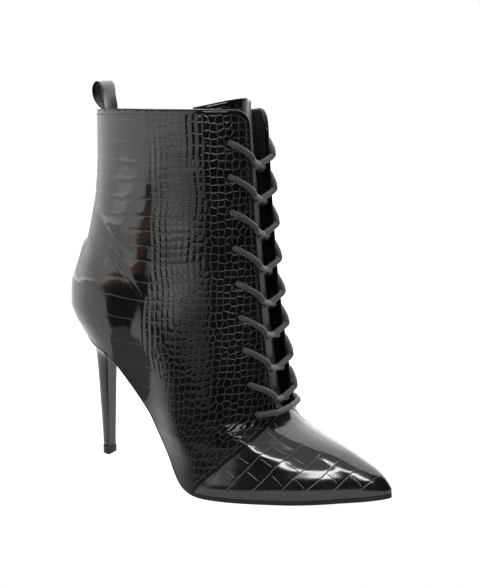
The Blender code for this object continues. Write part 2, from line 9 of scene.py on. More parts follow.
import bmesh
import bpy
import numpy as np
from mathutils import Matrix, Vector


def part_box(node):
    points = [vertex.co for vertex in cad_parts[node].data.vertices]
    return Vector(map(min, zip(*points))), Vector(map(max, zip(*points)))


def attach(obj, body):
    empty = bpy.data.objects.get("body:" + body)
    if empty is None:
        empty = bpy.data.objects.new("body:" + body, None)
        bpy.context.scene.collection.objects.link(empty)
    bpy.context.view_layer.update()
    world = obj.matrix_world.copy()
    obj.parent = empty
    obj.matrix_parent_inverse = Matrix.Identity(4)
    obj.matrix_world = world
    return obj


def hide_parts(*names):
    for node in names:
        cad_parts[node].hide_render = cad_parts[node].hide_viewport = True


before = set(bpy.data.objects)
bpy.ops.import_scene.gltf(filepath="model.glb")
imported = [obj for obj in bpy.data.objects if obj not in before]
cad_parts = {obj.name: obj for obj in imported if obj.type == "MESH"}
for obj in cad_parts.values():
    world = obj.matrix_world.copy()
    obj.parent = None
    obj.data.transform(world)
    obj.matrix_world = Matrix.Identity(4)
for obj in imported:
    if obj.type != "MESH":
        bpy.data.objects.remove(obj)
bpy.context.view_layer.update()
MM = 0.001

# Driving sizes, the same as in the part's source
WALL = 1.6
QUARTER_STEP = 0.9
SEAT_GAP = 0.45
GAP = 0.3
SOLE_INSET = 0.4
LEAST_HALF_SOLE = 0.5
INSOLE_THICK = 1.5
COLLAR_Z = 230.0
FLAP_CORNER_RADII = {"out": 9.0, "in": 13.0}
BREAST_X = 43.5
HOLE_SETBACK = 12.5
LACE_RADIUS = 1.8
LACE_CLEARANCE = 0.4
TOE_SWING = 7.0
SWING_START_X = 110.0
TOE_X = 226.0
THROAT_Z = 52.0

# Centre lines of the last, seen from the side
Level = namedtuple("Level", "z x")
BACK_LINE = [
    Level(2, -30), Level(9, -30), Level(18, -25), Level(30, -12), Level(44, 9), Level(52, 14),
    Level(65, 17), Level(82, 14.5), Level(91, 9), Level(98, 4), Level(107, 0.8), Level(117, 1.2),
    Level(140, 9), Level(160, 17.5), Level(180, 22.5), Level(205, 25), Level(230, 25.5),
]
FRONT_LINE = [
    Level(2, 226), Level(9, 226), Level(15, 223), Level(21, 216.5), Level(26, 207.5), Level(31, 197.5),
    Level(36, 184), Level(40, 174), Level(45, 165.5), Level(52, 160), Level(75, 156),
    Level(105, 152.5), Level(140, 148.5), Level(180, 144.5), Level(205, 142.5), Level(230, 141),
]
PANEL_EDGE = [
    Level(2, 113), Level(10, 120), Level(18, 128), Level(26, 136), Level(33, 143.5), Level(38, 148),
    Level(44, 152.6), Level(48, 155.2), Level(THROAT_Z, 156.4), Level(58, 155.2), Level(66, 153.4),
    Level(95, 148.8), Level(140, 143.5), Level(190, 139.2), Level(230, 137),
]
TopLine = namedtuple("TopLine", "share outer inner")
TOP_LINE = [
    TopLine(0, 231, 231), TopLine(0.25, 232.6, 229.8), TopLine(0.5, 234.6, 229.4),
    TopLine(0.75, 235.3, 231.5), TopLine(0.9, 235.2, 234), TopLine(1, 235.2, 235.2),
]
Bottom = namedtuple("Bottom", "x z")
FEATHER = [
    Bottom(2, 90), Bottom(20, 87), Bottom(32, 84), Bottom(42, 81), Bottom(50, 75.5),
    Bottom(58, 67), Bottom(66, 57.2), Bottom(74, 45.8), Bottom(82, 32.8), Bottom(90, 19.8),
    Bottom(98, 9.8), Bottom(106, 4.6), Bottom(114, 3.3), Bottom(165, 3.3), Bottom(185, 3.8),
    Bottom(205, 5.4), Bottom(218, 7.2), Bottom(228, 8.5),
]
LOWEST_FEATHER = 2.0
HIGHEST_FEATHER = 95.0
SoleGauge = namedtuple("SoleGauge", "x thick")
SOLE_GAUGE = [SoleGauge(43, 1.6), SoleGauge(90, 1.8), SoleGauge(112, 2.85), SoleGauge(228, 2.85)]
STATIONS = {"heel": 0.15, "waist": 0.4, "ball": 0.6, "fore": 0.78, "tip": 0.93}
Section = namedtuple("Section", "z heel waist_out waist_in ball_out ball_in fore_out fore_in tip")
SECTIONS = [
    Section(2, 20, 23, 20, 41.5, 37, 28, 26.5, 11),
    Section(7, 20, 23, 20, 41.5, 37, 28, 26.5, 11),
    Section(18, 20, 23, 20, 39.8, 36, 27.6, 26.2, 11),
    Section(30, 21, 24, 21.5, 38.6, 35.4, 30, 28.6, 12.5),
    Section(44, 23.5, 25.5, 23, 37.2, 35, 34.4, 33, 19),
    Section(52, 24, 27, 24.5, 36.6, 34.7, 34.2, 32.8, 20.5),
    Section(70, 25, 29, 27.5, 35.5, 34, 32.5, 31.5, 20),
    Section(100, 26.3, 32, 31.5, 33.5, 33, 30.5, 30.5, 18.7),
    Section(150, 25, 31.2, 31.2, 31.5, 31.5, 27.2, 27.2, 16),
    Section(230, 23, 32.2, 32.2, 33, 33, 27.5, 27.5, 16),
]
HeelRing = namedtuple("HeelRing", "x_back x_front half_width z_back z_front")
HEEL_RINGS = [
    HeelRing(14.2, 37, 17.5, 82, 74.5),
    HeelRing(15.2, 31, 11, 77, 72.5),
    HeelRing(15.8, 28, 7.4, 70, 68),
    HeelRing(16.4, 27, 6, 61, 60.5),
    HeelRing(17.8, 26.4, 5, 36, 36),
    HeelRing(18.8, 26, 4.4, 18, 18),
    HeelRing(19.2, 25.8, 4.1, 6.0, 6.0),
]
TOP_PIECE_THICK = 5.7
TOP_PIECE_LIP = 0.3
HEEL_LIP = 3.6
HOLE_HEIGHTS = [53.5, 72, 93, 112.5, 133, 154.5, 176, 197, 217]
TongueRow = namedtuple("TongueRow", "z depth_mid depth_side half_width lean")
TONGUE_ROWS = [
    TongueRow(44, 2.0, 2.0, 12, 0), TongueRow(50, 5.8, 5.8, 14, 0), TongueRow(64, 10.3, 6.8, 15, 0),
    TongueRow(90, 11.8, 6.8, 15.5, -1), TongueRow(120, 11.4, 6.8, 16, -2),
    TongueRow(180, 10.2, 6.8, 17, -8), TongueRow(241.6, 9.8, 6.8, 17, -14),
]
TONGUE_THICK = 1.6
TONGUE_ARCH = 3.3
TONGUE_PEAK = 0.25
TONGUE_RIDGE = 9.0
LOOP_WIDTH = 15.0
LOOP_STRAP = 1.4
LOOP_LEG_DEPTH = 11.0
LOOP_HEIGHT = 20.0
LOOP_GAP = 5.6
LOOP_LEAN = -2.8
LOOP_BELLY = 11.5
LOOP_NECK = 2.4

# Sizes of the scale embossing
ROW_LINES = [
    20, 34, 48, 62, 76, 90.7, 106.8, 119.5, 131, 144.2,
    153.5, 163, 171.8, 182.1, 193.2, 204, 216.3, 229, 242,
]
ROW_HEIGHT = 12.0
COLUMN_WIDTH = 4.2
CELL_SIZE = 4.4
BAND_LINES = [101.5, 116, 130.5, 145.5, 161.2, 174.5, 188, 202.3, 217, 231]
BAND_SWEEP = 0.8
TICKS_PER_ROW = 1.9
TICK_TURN = 12.9898
TICK_SPREAD = 43.7
STAGGERED_CUT = 0.4
STRIP_HALF = 16.0
LINE_WIDTH = 0.5
LINE_DEPTH = 0.05
RELIEF_WIDTH = 1.6
RELIEF_DEPTH = 0.04
ROW_PUFF = 0.006
ROW_PUFF_WIDTH = 2.6
COLUMN_PUFF = 0.14
CELL_PUFF = 0.05
CELL_PUFF_SHARE = 0.4
CELL_RANDOMNESS = 0.5
FAR_FROM_SEAM = 50.0
TONGUE_STRIP = (9.0, 10.5)
TONGUE_SHIFT = 71.0

# Where the small cells and the upright columns start on the quarters, by height
CELL_START = [
    Level(5, 120), Level(25, 108), Level(47, 96), Level(77, 88),
    Level(95, 90), Level(112, 101), Level(130, 112), Level(230, 114),
]
COLUMN_START = [
    Level(40, 95), Level(70, 84), Level(90, 70), Level(112, 75), Level(150, 79), Level(230, 81),
]
FORE_X = 100.0

# Gloss of the patent leather, as levels of its specular light
FULL_GLOSS = 0.5
CELL_GLOSS = 0.12
LOW_GLOSS = 0.08
EDGE_GLOSS = 0.15
STRIP_GLOSS = 1.0


def knot_slopes(step, slope):
    """Slopes at a monotone curve's points from those of its spans: level at both ends and at turns."""
    result = np.zeros((len(step) + 1, *slope.shape[1:]))
    for i in range(1, len(step)):
        w1 = 2 * step[i] + step[i - 1]
        w2 = step[i] + 2 * step[i - 1]
        same = slope[i - 1] * slope[i] > 0
        first = np.where(same, slope[i - 1], 1)
        second = np.where(same, slope[i], 1)
        result[i] = np.where(same, (w1 + w2) / (w1 / first + w2 / second), 0)
    return result


def span_value(t, step, values, slopes):
    """Cubic at share t of a span, from the values and slopes at its ends."""
    a = (1 + 2 * t) * (1 - t) ** 2 * values[0] + t * t * (3 - 2 * t) * values[1]
    b = t * (1 - t) ** 2 * step * slopes[0] - t * t * (1 - t) * step * slopes[1]
    return a + b


class Curve:
    """Smooth monotone curve through a table's points, held beyond both ends."""

    def __init__(self, points):
        points = sorted(points)
        self.x = np.array([p[0] for p in points], float)
        self.y = np.array([p[1] for p in points], float)
        self.step = np.diff(self.x)
        slope = np.diff(self.y) / self.step
        self.slopes = knot_slopes(self.step, slope)
        self.slopes[0] = slope[0]
        self.slopes[-1] = slope[-1]

    def __call__(self, x):
        x = np.clip(x, self.x[0], self.x[-1])
        i = np.clip(np.searchsorted(self.x, x) - 1, 0, len(self.step) - 1)
        t = (x - self.x[i]) / self.step[i]
        ends = (i, i + 1)
        return span_value(t, self.step[i], [self.y[k] for k in ends], [self.slopes[k] for k in ends])


back_x = Curve(BACK_LINE)
front_x = Curve(FRONT_LINE)
edge_x = Curve(PANEL_EDGE)
feather_z = Curve(FEATHER)
sole_thick = Curve(SOLE_GAUGE)
TOP_CURVES = {"out": Curve([(p.share, p.outer) for p in TOP_LINE]),
              "in": Curve([(p.share, p.inner) for p in TOP_LINE])}
cell_start = Curve(CELL_START)
column_start = Curve(COLUMN_START)
row_number = Curve([(z, i) for i, z in enumerate(ROW_LINES)])
band_number = Curve([(v, i) for i, v in enumerate(BAND_LINES)])
STATION_ANGLES = np.array([math.acos(1 - 2 * c) for c in STATIONS.values()])
SIGN = {"out": -1, "in": 1}
WIDTH_CURVES = {}
for side_name in SIGN:
    columns = ["heel"] + [f"{name}_{side_name}" for name in ("waist", "ball", "fore")] + ["tip"]
    WIDTH_CURVES[side_name] = [Curve([(s.z, getattr(s, name)) for s in SECTIONS]) for name in columns]


def smooth(low, high, value):
    """Smooth step from 0 at low to 1 at high."""
    t = np.clip((value - low) / (high - low), 0, 1)
    return t * t * (3 - 2 * t)


def fullness(side, angle, z):
    """Half-width over sine of the angle, smooth round each level section."""
    knots = np.stack([w(z) / math.sin(a) for a, w in zip(STATION_ANGLES, WIDTH_CURVES[side])])
    step = np.diff(STATION_ANGLES)
    slopes = knot_slopes(step, np.diff(knots, axis=0) / step.reshape((-1,) + (1,) * (knots.ndim - 1)))
    angle = np.clip(angle, STATION_ANGLES[0], STATION_ANGLES[-1])
    i = np.clip(np.searchsorted(STATION_ANGLES, angle) - 1, 0, len(step) - 1)
    t = (angle - STATION_ANGLES[i]) / step[i]

    def at_ends(table):
        return [np.take_along_axis(table, k[None], axis=0)[0] for k in (i, i + 1)]
    return span_value(t, step[i], at_ends(knots), at_ends(slopes))


def swing(x):
    return TOE_SWING * (np.maximum(x - SWING_START_X, 0) / (TOE_X - SWING_START_X)) ** 2


def level_x(angle, z):
    rear = back_x(z)
    return rear + (front_x(z) - rear) * (1 - np.cos(angle)) / 2


def base_point(side, angle, z):
    """Points of the last's outer form: angle 0 is the back seam and pi the front line."""
    angle, z = np.broadcast_arrays(np.asarray(angle, float), np.asarray(z, float))
    x = level_x(angle, z)
    half = fullness(side, angle, z) * np.sin(angle)
    return np.stack([x, swing(x) + SIGN[side] * half, z], axis=-1)


def unit(arrows):
    return arrows / np.maximum(np.linalg.norm(arrows, axis=-1, keepdims=True), 1e-12)


def outward(side, angle, z):
    d_angle = 2e-3
    d_z = 0.1
    along = base_point(side, angle + d_angle, z) - base_point(side, angle - d_angle, z)
    up = base_point(side, angle, z + d_z) - base_point(side, angle, z - d_z)
    return unit(np.cross(along, up) * -SIGN[side])


def skin_point(side, angle, z, offset):
    return base_point(side, angle, z) + outward(side, angle, z) * offset


def angle_at_x(x, z):
    rear = back_x(z)
    c = (x - rear) / (front_x(z) - rear)
    return np.arccos(1 - 2 * np.clip(c, 0, 1))


def edge_angle(z):
    return angle_at_x(edge_x(z), z)


def setback_angle(side, z, setback):
    """Angle of the point that lies setback millimetres behind the flap's edge."""
    angle = edge_angle(z)
    steps = 10
    nudge = 0.01
    for _ in range(steps):
        ahead = base_point(side, angle + nudge, z) - base_point(side, angle - nudge, z)
        angle = angle - setback / steps / (np.linalg.norm(ahead, axis=-1) / (2 * nudge))
    return angle


def solve(function, low, high):
    """Roots of a function that is below zero at low and above zero at high."""
    low = np.array(low, float)
    high = np.array(high, float)
    halvings = 40
    for _ in range(halvings):
        middle = (low + high) / 2
        below = function(middle) < 0
        low = np.where(below, middle, low)
        high = np.where(below, high, middle)
    return (low + high) / 2


def feather_level(angle_of_z, count):
    """Heights where columns of the upper meet its underside."""
    def above(z):
        return z - feather_z(level_x(angle_of_z(z), z))
    return solve(above, np.full(count, LOWEST_FEATHER), np.full(count, HIGHEST_FEATHER))


def sole_normal(x):
    """Unit vectors that point down and away from the foot, in the side view."""
    slope = feather_z(x + 0.5) - feather_z(x - 0.5)
    return unit(np.stack([slope, np.zeros_like(slope), -np.ones_like(slope)], axis=-1))


# The shoe's own frame stands in the row's frame where the heel tip says
tip_low, tip_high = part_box("heel_top_piece")
ORIGIN = np.array([
    tip_low[0] - (HEEL_RINGS[-1].x_back - TOP_PIECE_LIP) * MM,
    (tip_low[1] + tip_high[1]) / 2,
    0.0,
])


def to_row(points):
    return np.asarray(points, float) * MM + ORIGIN


# Mesh helpers
def link_object(name, data):
    thing = bpy.data.objects.new(name, data)
    bpy.context.scene.collection.objects.link(thing)
    return thing


def add_object(name, mesh, material, slot, *nodes):
    """A piece of the shoe, with its material and the nodes that it replaces; the slot is not used."""
    thing = link_object(name, mesh)
    mesh.materials.clear()
    mesh.materials.append(material)
    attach(thing, "root")
    if nodes:
        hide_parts(*nodes)


def tidy_mesh(mesh, merge=1e-6):
    """Weld coincident points and turn the faces outwards."""
    shape = bmesh.new()
    shape.from_mesh(mesh)
    bmesh.ops.remove_doubles(shape, verts=shape.verts, dist=merge)
    bmesh.ops.dissolve_degenerate(shape, edges=shape.edges, dist=merge / 10)
    bmesh.ops.recalc_face_normals(shape, faces=shape.faces)
    shape.to_mesh(mesh)
    shape.free()
    return mesh


def grid_faces(rows, columns, start=0, closed=False):
    """Quads of a grid of points that is numbered row by row."""
    i = np.arange(rows - 1)[:, None]
    j = np.arange(columns if closed else columns - 1)[None]
    k = (j + 1) % columns
    here = i * columns
    above = here + columns
    quads = np.stack([here + j, here + k, above + k, above + j], axis=-1)
    return (quads.reshape(-1, 4) + start).tolist()


def arc_length(points):
    """Running length along the last but one axis."""
    step = np.linalg.norm(np.diff(points, axis=-2), axis=-1)
    return np.concatenate([np.zeros_like(step[..., :1]), np.cumsum(step, axis=-1)], axis=-1)


def vectors(*values):
    """Points or vector attributes from three values each, some of which may be plain numbers."""
    return np.stack(np.broadcast_arrays(*values), axis=-1)


def triple(value):
    return vectors(value, value, value)


class Body:
    """Collects grids of points in millimetres, with vector attributes, into one smooth mesh."""

    def __init__(self):
        self.points = []
        self.faces = []
        self.attributes = {}
        self.count = 0

    def add_grid(self, points, closed=False, **attributes):
        rows, columns = points.shape[:2]
        self.faces += grid_faces(rows, columns, self.count, closed)
        self.points.append(points.reshape(-1, 3))
        for key, values in attributes.items():
            self.attributes.setdefault(key, []).append(values.reshape(-1, 3))
        self.count += rows * columns

    def add_fan(self, ring):
        """Closes a ring of points with a fan from its middle."""
        count = len(ring)
        start = self.count
        self.points.append(np.vstack([ring, ring.mean(axis=0)]))
        self.faces += [[start + i, start + (i + 1) % count, start + count] for i in range(count)]
        self.count += count + 1

    def mesh(self, name):
        mesh = bpy.data.meshes.new(name)
        mesh.from_pydata(to_row(np.concatenate(self.points)).tolist(), [], self.faces)
        for key, values in self.attributes.items():
            layer = mesh.attributes.new(key, "FLOAT_VECTOR", "POINT")
            layer.data.foreach_set("vector", np.concatenate(values).astype(np.float32).ravel())
        mesh.polygons.foreach_set("use_smooth", np.ones(len(mesh.polygons), bool))
        return mesh


# Node helpers that serve materials and geometry nodes alike
class Nodes:
    def __init__(self, tree):
        self.tree = tree

    def new(self, kind, **settings):
        node = self.tree.nodes.new(kind)
        for key, value in settings.items():
            setattr(node, key, value)
        return node

    def put(self, socket, value):
        if isinstance(value, bpy.types.NodeSocket):
            self.tree.links.new(value, socket)
        else:
            socket.default_value = value

    def math(self, operation, *values):
        node = self.new("ShaderNodeMath", operation=operation)
        for socket, value in zip(node.inputs, values):
            self.put(socket, value)
        return node.outputs[0]

    def times(self, first, second):
        return self.math("MULTIPLY", first, second)

    def plus(self, first, second):
        return self.math("ADD", first, second)

    def ramp(self, value, low, high, start=0.0, end=1.0):
        """Smooth change from start at low to end at high."""
        node = self.new("ShaderNodeMapRange", interpolation_type="SMOOTHSTEP")
        names = ("Value", "From Min", "From Max", "To Min", "To Max")
        for name, item in zip(names, (value, low, high, start, end)):
            self.put(node.inputs[name], item)
        return node.outputs[0]

    def split(self, vector):
        node = self.new("ShaderNodeSeparateXYZ")
        self.put(node.inputs[0], vector)
        return node.outputs

    def noise(self, vector, scale, detail):
        node = self.new("ShaderNodeTexNoise")
        for name, item in (("Vector", vector), ("Scale", scale), ("Detail", detail)):
            self.put(node.inputs[name], item)
        return node.outputs["Fac"]

    def mix_color(self, factor, first, second):
        node = self.new("ShaderNodeMix", data_type="RGBA")
        self.put(node.inputs[0], factor)
        self.put(node.inputs[6], first)
        self.put(node.inputs[7], second)
        return node.outputs[2]


def scale_field(nodes, attribute, width, staggered):
    """The embossing: a share that is 1 in the middle of a groove, and the puffed height of the scales."""
    column, row, upright = nodes.split(attribute("scale_rows"))
    across, along, zone = nodes.split(attribute("scale_cells"))
    seam, fade, cut = nodes.split(attribute("scale_edges"))

    def line_gap(place, pitch):
        gap = nodes.math("ABSOLUTE", nodes.math("SUBTRACT", place, nodes.math("ROUND", place)))
        return nodes.times(gap, pitch)

    def line(gap):
        return nodes.ramp(gap, 0.0, width, 1.0, 0.0)

    def by_zone(rows, cells):
        return nodes.plus(nodes.times(rows, nodes.math("SUBTRACT", 1.0, zone)), nodes.times(cells, zone))
    row_gap = line_gap(row, ROW_HEIGHT)
    column_gap = line_gap(column, COLUMN_WIDTH)
    place = nodes.new("ShaderNodeCombineXYZ")
    nodes.put(place.inputs[0], across)
    nodes.put(place.inputs[1], along)
    cells = nodes.new("ShaderNodeTexVoronoi", feature="DISTANCE_TO_EDGE", voronoi_dimensions="2D")
    nodes.put(cells.inputs["Vector"], place.outputs[0])
    cells.inputs["Scale"].default_value = 1.0
    cells.inputs["Randomness"].default_value = CELL_RANDOMNESS
    cell_gap = nodes.times(cells.outputs["Distance"], CELL_SIZE)
    row_line = nodes.times(line(row_gap), STAGGERED_CUT if staggered else 1.0)
    tick_gap = column_gap
    if staggered:
        shift = nodes.math("SINE", nodes.times(nodes.math("FLOOR", column), TICK_TURN))
        ticks = nodes.plus(nodes.times(row, TICKS_PER_ROW), nodes.times(shift, TICK_SPREAD))
        tick_gap = nodes.math("MINIMUM", line_gap(ticks, ROW_HEIGHT / TICKS_PER_ROW), column_gap)
    column_line = nodes.times(line(tick_gap), upright)
    groove = nodes.times(by_zone(nodes.math("MAXIMUM", row_line, column_line), line(cell_gap)), fade)
    seam_line = nodes.times(line(seam), cut)
    row_puff = nodes.ramp(row_gap, 0.0, ROW_PUFF_WIDTH, 0.0, ROW_PUFF)
    puff_height = COLUMN_PUFF if staggered else 0.0
    column_puff = nodes.times(nodes.ramp(column_gap, 0.0, COLUMN_WIDTH / 2, 0.0, puff_height), upright)
    cell_puff = nodes.ramp(cell_gap, 0.0, CELL_PUFF_SHARE * CELL_SIZE, 0.0, CELL_PUFF)
    puff = nodes.times(by_zone(nodes.plus(row_puff, column_puff), cell_puff), fade)
    return nodes.math("MAXIMUM", groove, seam_line), puff


def emboss(mesh, staggered):
    """Press the scale pattern into a mesh along its normals."""
    tree = bpy.data.node_groups.new("emboss", "GeometryNodeTree")
    tree.interface.new_socket("Geometry", in_out="INPUT", socket_type="NodeSocketGeometry")
    tree.interface.new_socket("Geometry", in_out="OUTPUT", socket_type="NodeSocketGeometry")
    nodes = Nodes(tree)

    def attribute(name):
        node = nodes.new("GeometryNodeInputNamedAttribute", data_type="FLOAT_VECTOR")
        node.inputs["Name"].default_value = name
        return node.outputs["Attribute"]
    groove, _ = scale_field(nodes, attribute, RELIEF_WIDTH, staggered)
    scale = nodes.new("ShaderNodeVectorMath", operation="SCALE")
    nodes.put(scale.inputs[0], nodes.new("GeometryNodeInputNormal").outputs[0])
    nodes.put(scale.inputs["Scale"], nodes.times(groove, -RELIEF_DEPTH * MM))
    move = nodes.new("GeometryNodeSetPosition")
    source = nodes.new("NodeGroupInput")
    result = nodes.new("NodeGroupOutput")
    nodes.put(move.inputs["Geometry"], source.outputs[0])
    nodes.put(move.inputs["Offset"], scale.outputs[0])
    nodes.put(result.inputs[0], move.outputs[0])
    carrier = link_object("emboss_carrier", mesh)
    carrier.modifiers.new("emboss", "NODES").node_group = tree
    graph = bpy.context.evaluated_depsgraph_get()
    pressed = bpy.data.meshes.new_from_object(carrier.evaluated_get(graph))
    bpy.data.objects.remove(carrier)
    bpy.data.node_groups.remove(tree)
    return pressed


# Materials
class Material(Nodes):
    """A material with one shader, whose inputs take numbers, colours or node outputs."""

    def __init__(self, name):
        self.data = bpy.data.materials.new(name)
        self.data.use_nodes = True
        super().__init__(self.data.node_tree)
        self.shader = self.tree.nodes["Principled BSDF"]

    def place(self):
        return self.new("ShaderNodeTexCoord").outputs["Object"]

    def attribute(self, key):
        return self.new("ShaderNodeAttribute", attribute_name=key).outputs["Vector"]

    def look(self, color, roughness, specular):
        for name, item in (("Base Color", color), ("Roughness", roughness), ("Specular IOR Level", specular)):
            self.put(self.shader.inputs[name], item)

    def bump(self, height):
        """Relief whose height is in millimetres."""
        node = self.new("ShaderNodeBump")
        for name, item in (("Height", height), ("Distance", MM), ("Strength", 1.0)):
            self.put(node.inputs[name], item)
        self.put(self.shader.inputs["Normal"], node.outputs[0])


def grey(level, blue=0.0):
    """A grey with no transparency, a little blue where asked."""
    return (level, level, level + blue, 1)


def patent_material(name, staggered, roughness, wave_height):
    """Gloss black patent leather: grooves are duller and a little paler, a plain strip is duller."""
    skin = Material(name)
    groove, puff = scale_field(skin, skin.attribute, LINE_WIDTH, staggered)
    place = skin.place()
    cloud = skin.ramp(skin.noise(place, 55.0, 3.0), 0.3, 0.7)
    black = skin.mix_color(cloud, grey(0.002, 0.0005), grey(0.004, 0.0005))
    haze = skin.ramp(skin.noise(place, 130.0, 4.0), 0.35, 0.75, roughness, roughness + 0.04)
    dull = skin.math("MAXIMUM", groove, skin.split(skin.attribute("plain"))[0])
    skin.look(
        skin.mix_color(groove, black, grey(0.017, -0.0005)),
        skin.plus(haze, skin.times(dull, 0.4)),
        skin.split(skin.attribute("gloss"))[0],
    )
    grain = skin.times(skin.noise(place, 900.0, 2.0), 0.003)
    wave = skin.times(skin.noise(place, 70.0, 2.0), wave_height)
    relief = skin.plus(skin.plus(grain, wave), skin.times(groove, -LINE_DEPTH))
    skin.bump(skin.plus(relief, puff))
    return skin.data


def grained_material(name, first, second, roughness, scale, depth, specular):
    """Plain material with a mottled colour, a varied gloss and a fine grain."""
    skin = Material(name)
    place = skin.place()
    mottle = skin.ramp(skin.noise(place, scale * 0.12, 3.0), 0.35, 0.65)
    haze = skin.ramp(skin.noise(place, scale * 0.3, 3.0), 0.3, 0.7, roughness * 0.85, roughness * 1.2)
    skin.look(skin.mix_color(mottle, first, second), haze, specular)
    skin.bump(skin.times(skin.noise(place, scale, 3.0), depth))
    return skin.data


def strap_material():
    """Smooth strap: its inner face is painted near-black as painted shade inside the loop, and is duller than
    the face that shows.
    """
    skin = Material("strap_leather")
    place = skin.place()
    inner = skin.split(skin.attribute("inner"))[0]
    mottle = skin.ramp(skin.noise(place, 170.0, 3.0), 0.35, 0.65)
    face = skin.mix_color(mottle, grey(0.02, 0.001), grey(0.03, 0.001))
    # The inner attribute swaps the face colour for near-black: painted shade on the strap's inner face.
    skin.look(skin.mix_color(inner, face, grey(0.003)), 0.35, skin.ramp(inner, 0.0, 1.0, 0.4, 0.04))
    skin.bump(skin.times(skin.noise(place, 1400.0, 3.0), 0.06))
    return skin.data


def cord_material():
    """Round cord: two faint sets of strands wind round it in opposite directions."""
    skin = Material("round_cord")
    around, along, _ = skin.split(skin.attribute("braid"))
    strands = 8.0

    def strand(sign):
        phase = skin.plus(skin.times(around, strands), skin.times(along, sign))
        return skin.math("ABSOLUTE", skin.math("SINE", skin.times(phase, math.pi)))
    weave = skin.times(strand(1.0), strand(-1.0))
    share = skin.ramp(weave, 0.0, 0.7)
    skin.look(skin.mix_color(share, grey(0.014, 0.002), grey(0.022, 0.003)), 0.65, 0.3)
    skin.shader.inputs["Sheen Weight"].default_value = 0.1
    skin.bump(skin.times(weave, 0.08))
    return skin.data


# Upper panels
def panel(side, shares, angle_of_share, top_of_share, rows, offset):
    """Grid of points, columns down from the top edge to the feather, with normals."""
    shares = np.asarray(shares)
    foot = feather_level(lambda z: angle_of_share(shares, z), len(shares))
    top = top_of_share(side, shares)
    z = top[:, None] + (foot - top)[:, None] * np.asarray(rows)[None]
    angle = angle_of_share(shares[:, None], z)
    normals = outward(side, angle, z)
    points = base_point(side, angle, z) + normals * offset
    points[:, -1, 2] = feather_z(points[:, -1, 0])
    return points, normals


def corner_drop(side, setback):
    """How far the rounded corner lies under the top line at a distance behind the flap's edge."""
    radius = FLAP_CORNER_RADII[side]
    inset = np.maximum(radius - setback, 0)
    return radius - np.sqrt(np.maximum(radius ** 2 - inset ** 2, 0))


def quarter_panels(offset, shares, rows):
    """Both quarters as one sheet, from the outer flap's edge round the back to the inner one's."""
    def angle_of_share(share, z):
        return share * edge_angle(z)

    def top_of_share(side, share):
        level = np.full(len(share), COLLAR_Z)
        run = arc_length(base_point(side, angle_of_share(share, level), level))
        return TOP_CURVES[side](share) - corner_drop(side, run[-1] - run)
    out, inn = [panel(side, shares, angle_of_share, top_of_share, rows, offset) for side in SIGN]
    return [np.concatenate([a[::-1], b[1:]]) for a, b in zip(out, inn)]


def vamp_panels(offset, shares, rows, tuck):
    """The vamp as one sheet, from under the outer quarter over the ridge to the inner one."""
    def angle_of_share(share, z):
        start = edge_angle(z) - tuck
        return start + share * (math.pi - start)

    def top_of_share(side, share):
        return np.full(len(share), THROAT_Z)
    out, inn = [panel(side, shares, angle_of_share, top_of_share, rows, offset) for side in SIGN]
    return [np.concatenate([a, b[-2::-1]]) for a, b in zip(out, inn)]


def rim_strip(points, normals, outer, inner, steps):
    """Rounded edge along a boundary path, from the outer face round to the inner one."""
    ahead = unit(np.gradient(points, axis=0))
    away = unit(np.cross(ahead, normals))
    radius = np.broadcast_to((outer - inner) / 2, len(points))[:, None]
    middle = points - normals * radius
    turns = np.linspace(0, math.pi, steps)
    return np.stack([middle + radius * (math.cos(t) * normals + math.sin(t) * away) for t in turns])


# Waves of the pattern's lines, its fade at edges, its shift on the inner side and its climb in front
Wave = namedtuple("Wave", "weight a_length b_length start")
WAVES = [Wave(1.0, 17.0, 41.0, 0.0), Wave(0.6, 7.3, -23.0, 1.7), Wave(0.4, 29.0, 9.1, 0.0)]
EDGE_FADE = (0.8, 2.4)
INNER_SHIFT = 37.0
VAMP_INNER_SHIFT = 5.0
ROW_CLIMB = 8.0
CELL_CLIMB = 9.0
CELL_STRETCH = 1.05
FOOT_FADE = 0.35


def wobble(a, b, size):
    """Slow waves that keep the rows of scales from looking ruled."""
    return size * sum(w.weight * np.sin(a / w.a_length + b / w.b_length + w.start) for w in WAVES)


def girth_from_middle(points):
    """Distance of each point from its sheet's middle column, along its row."""
    run = arc_length(np.swapaxes(points, 0, 1)).T
    return np.abs(run - run[len(points) // 2][None])


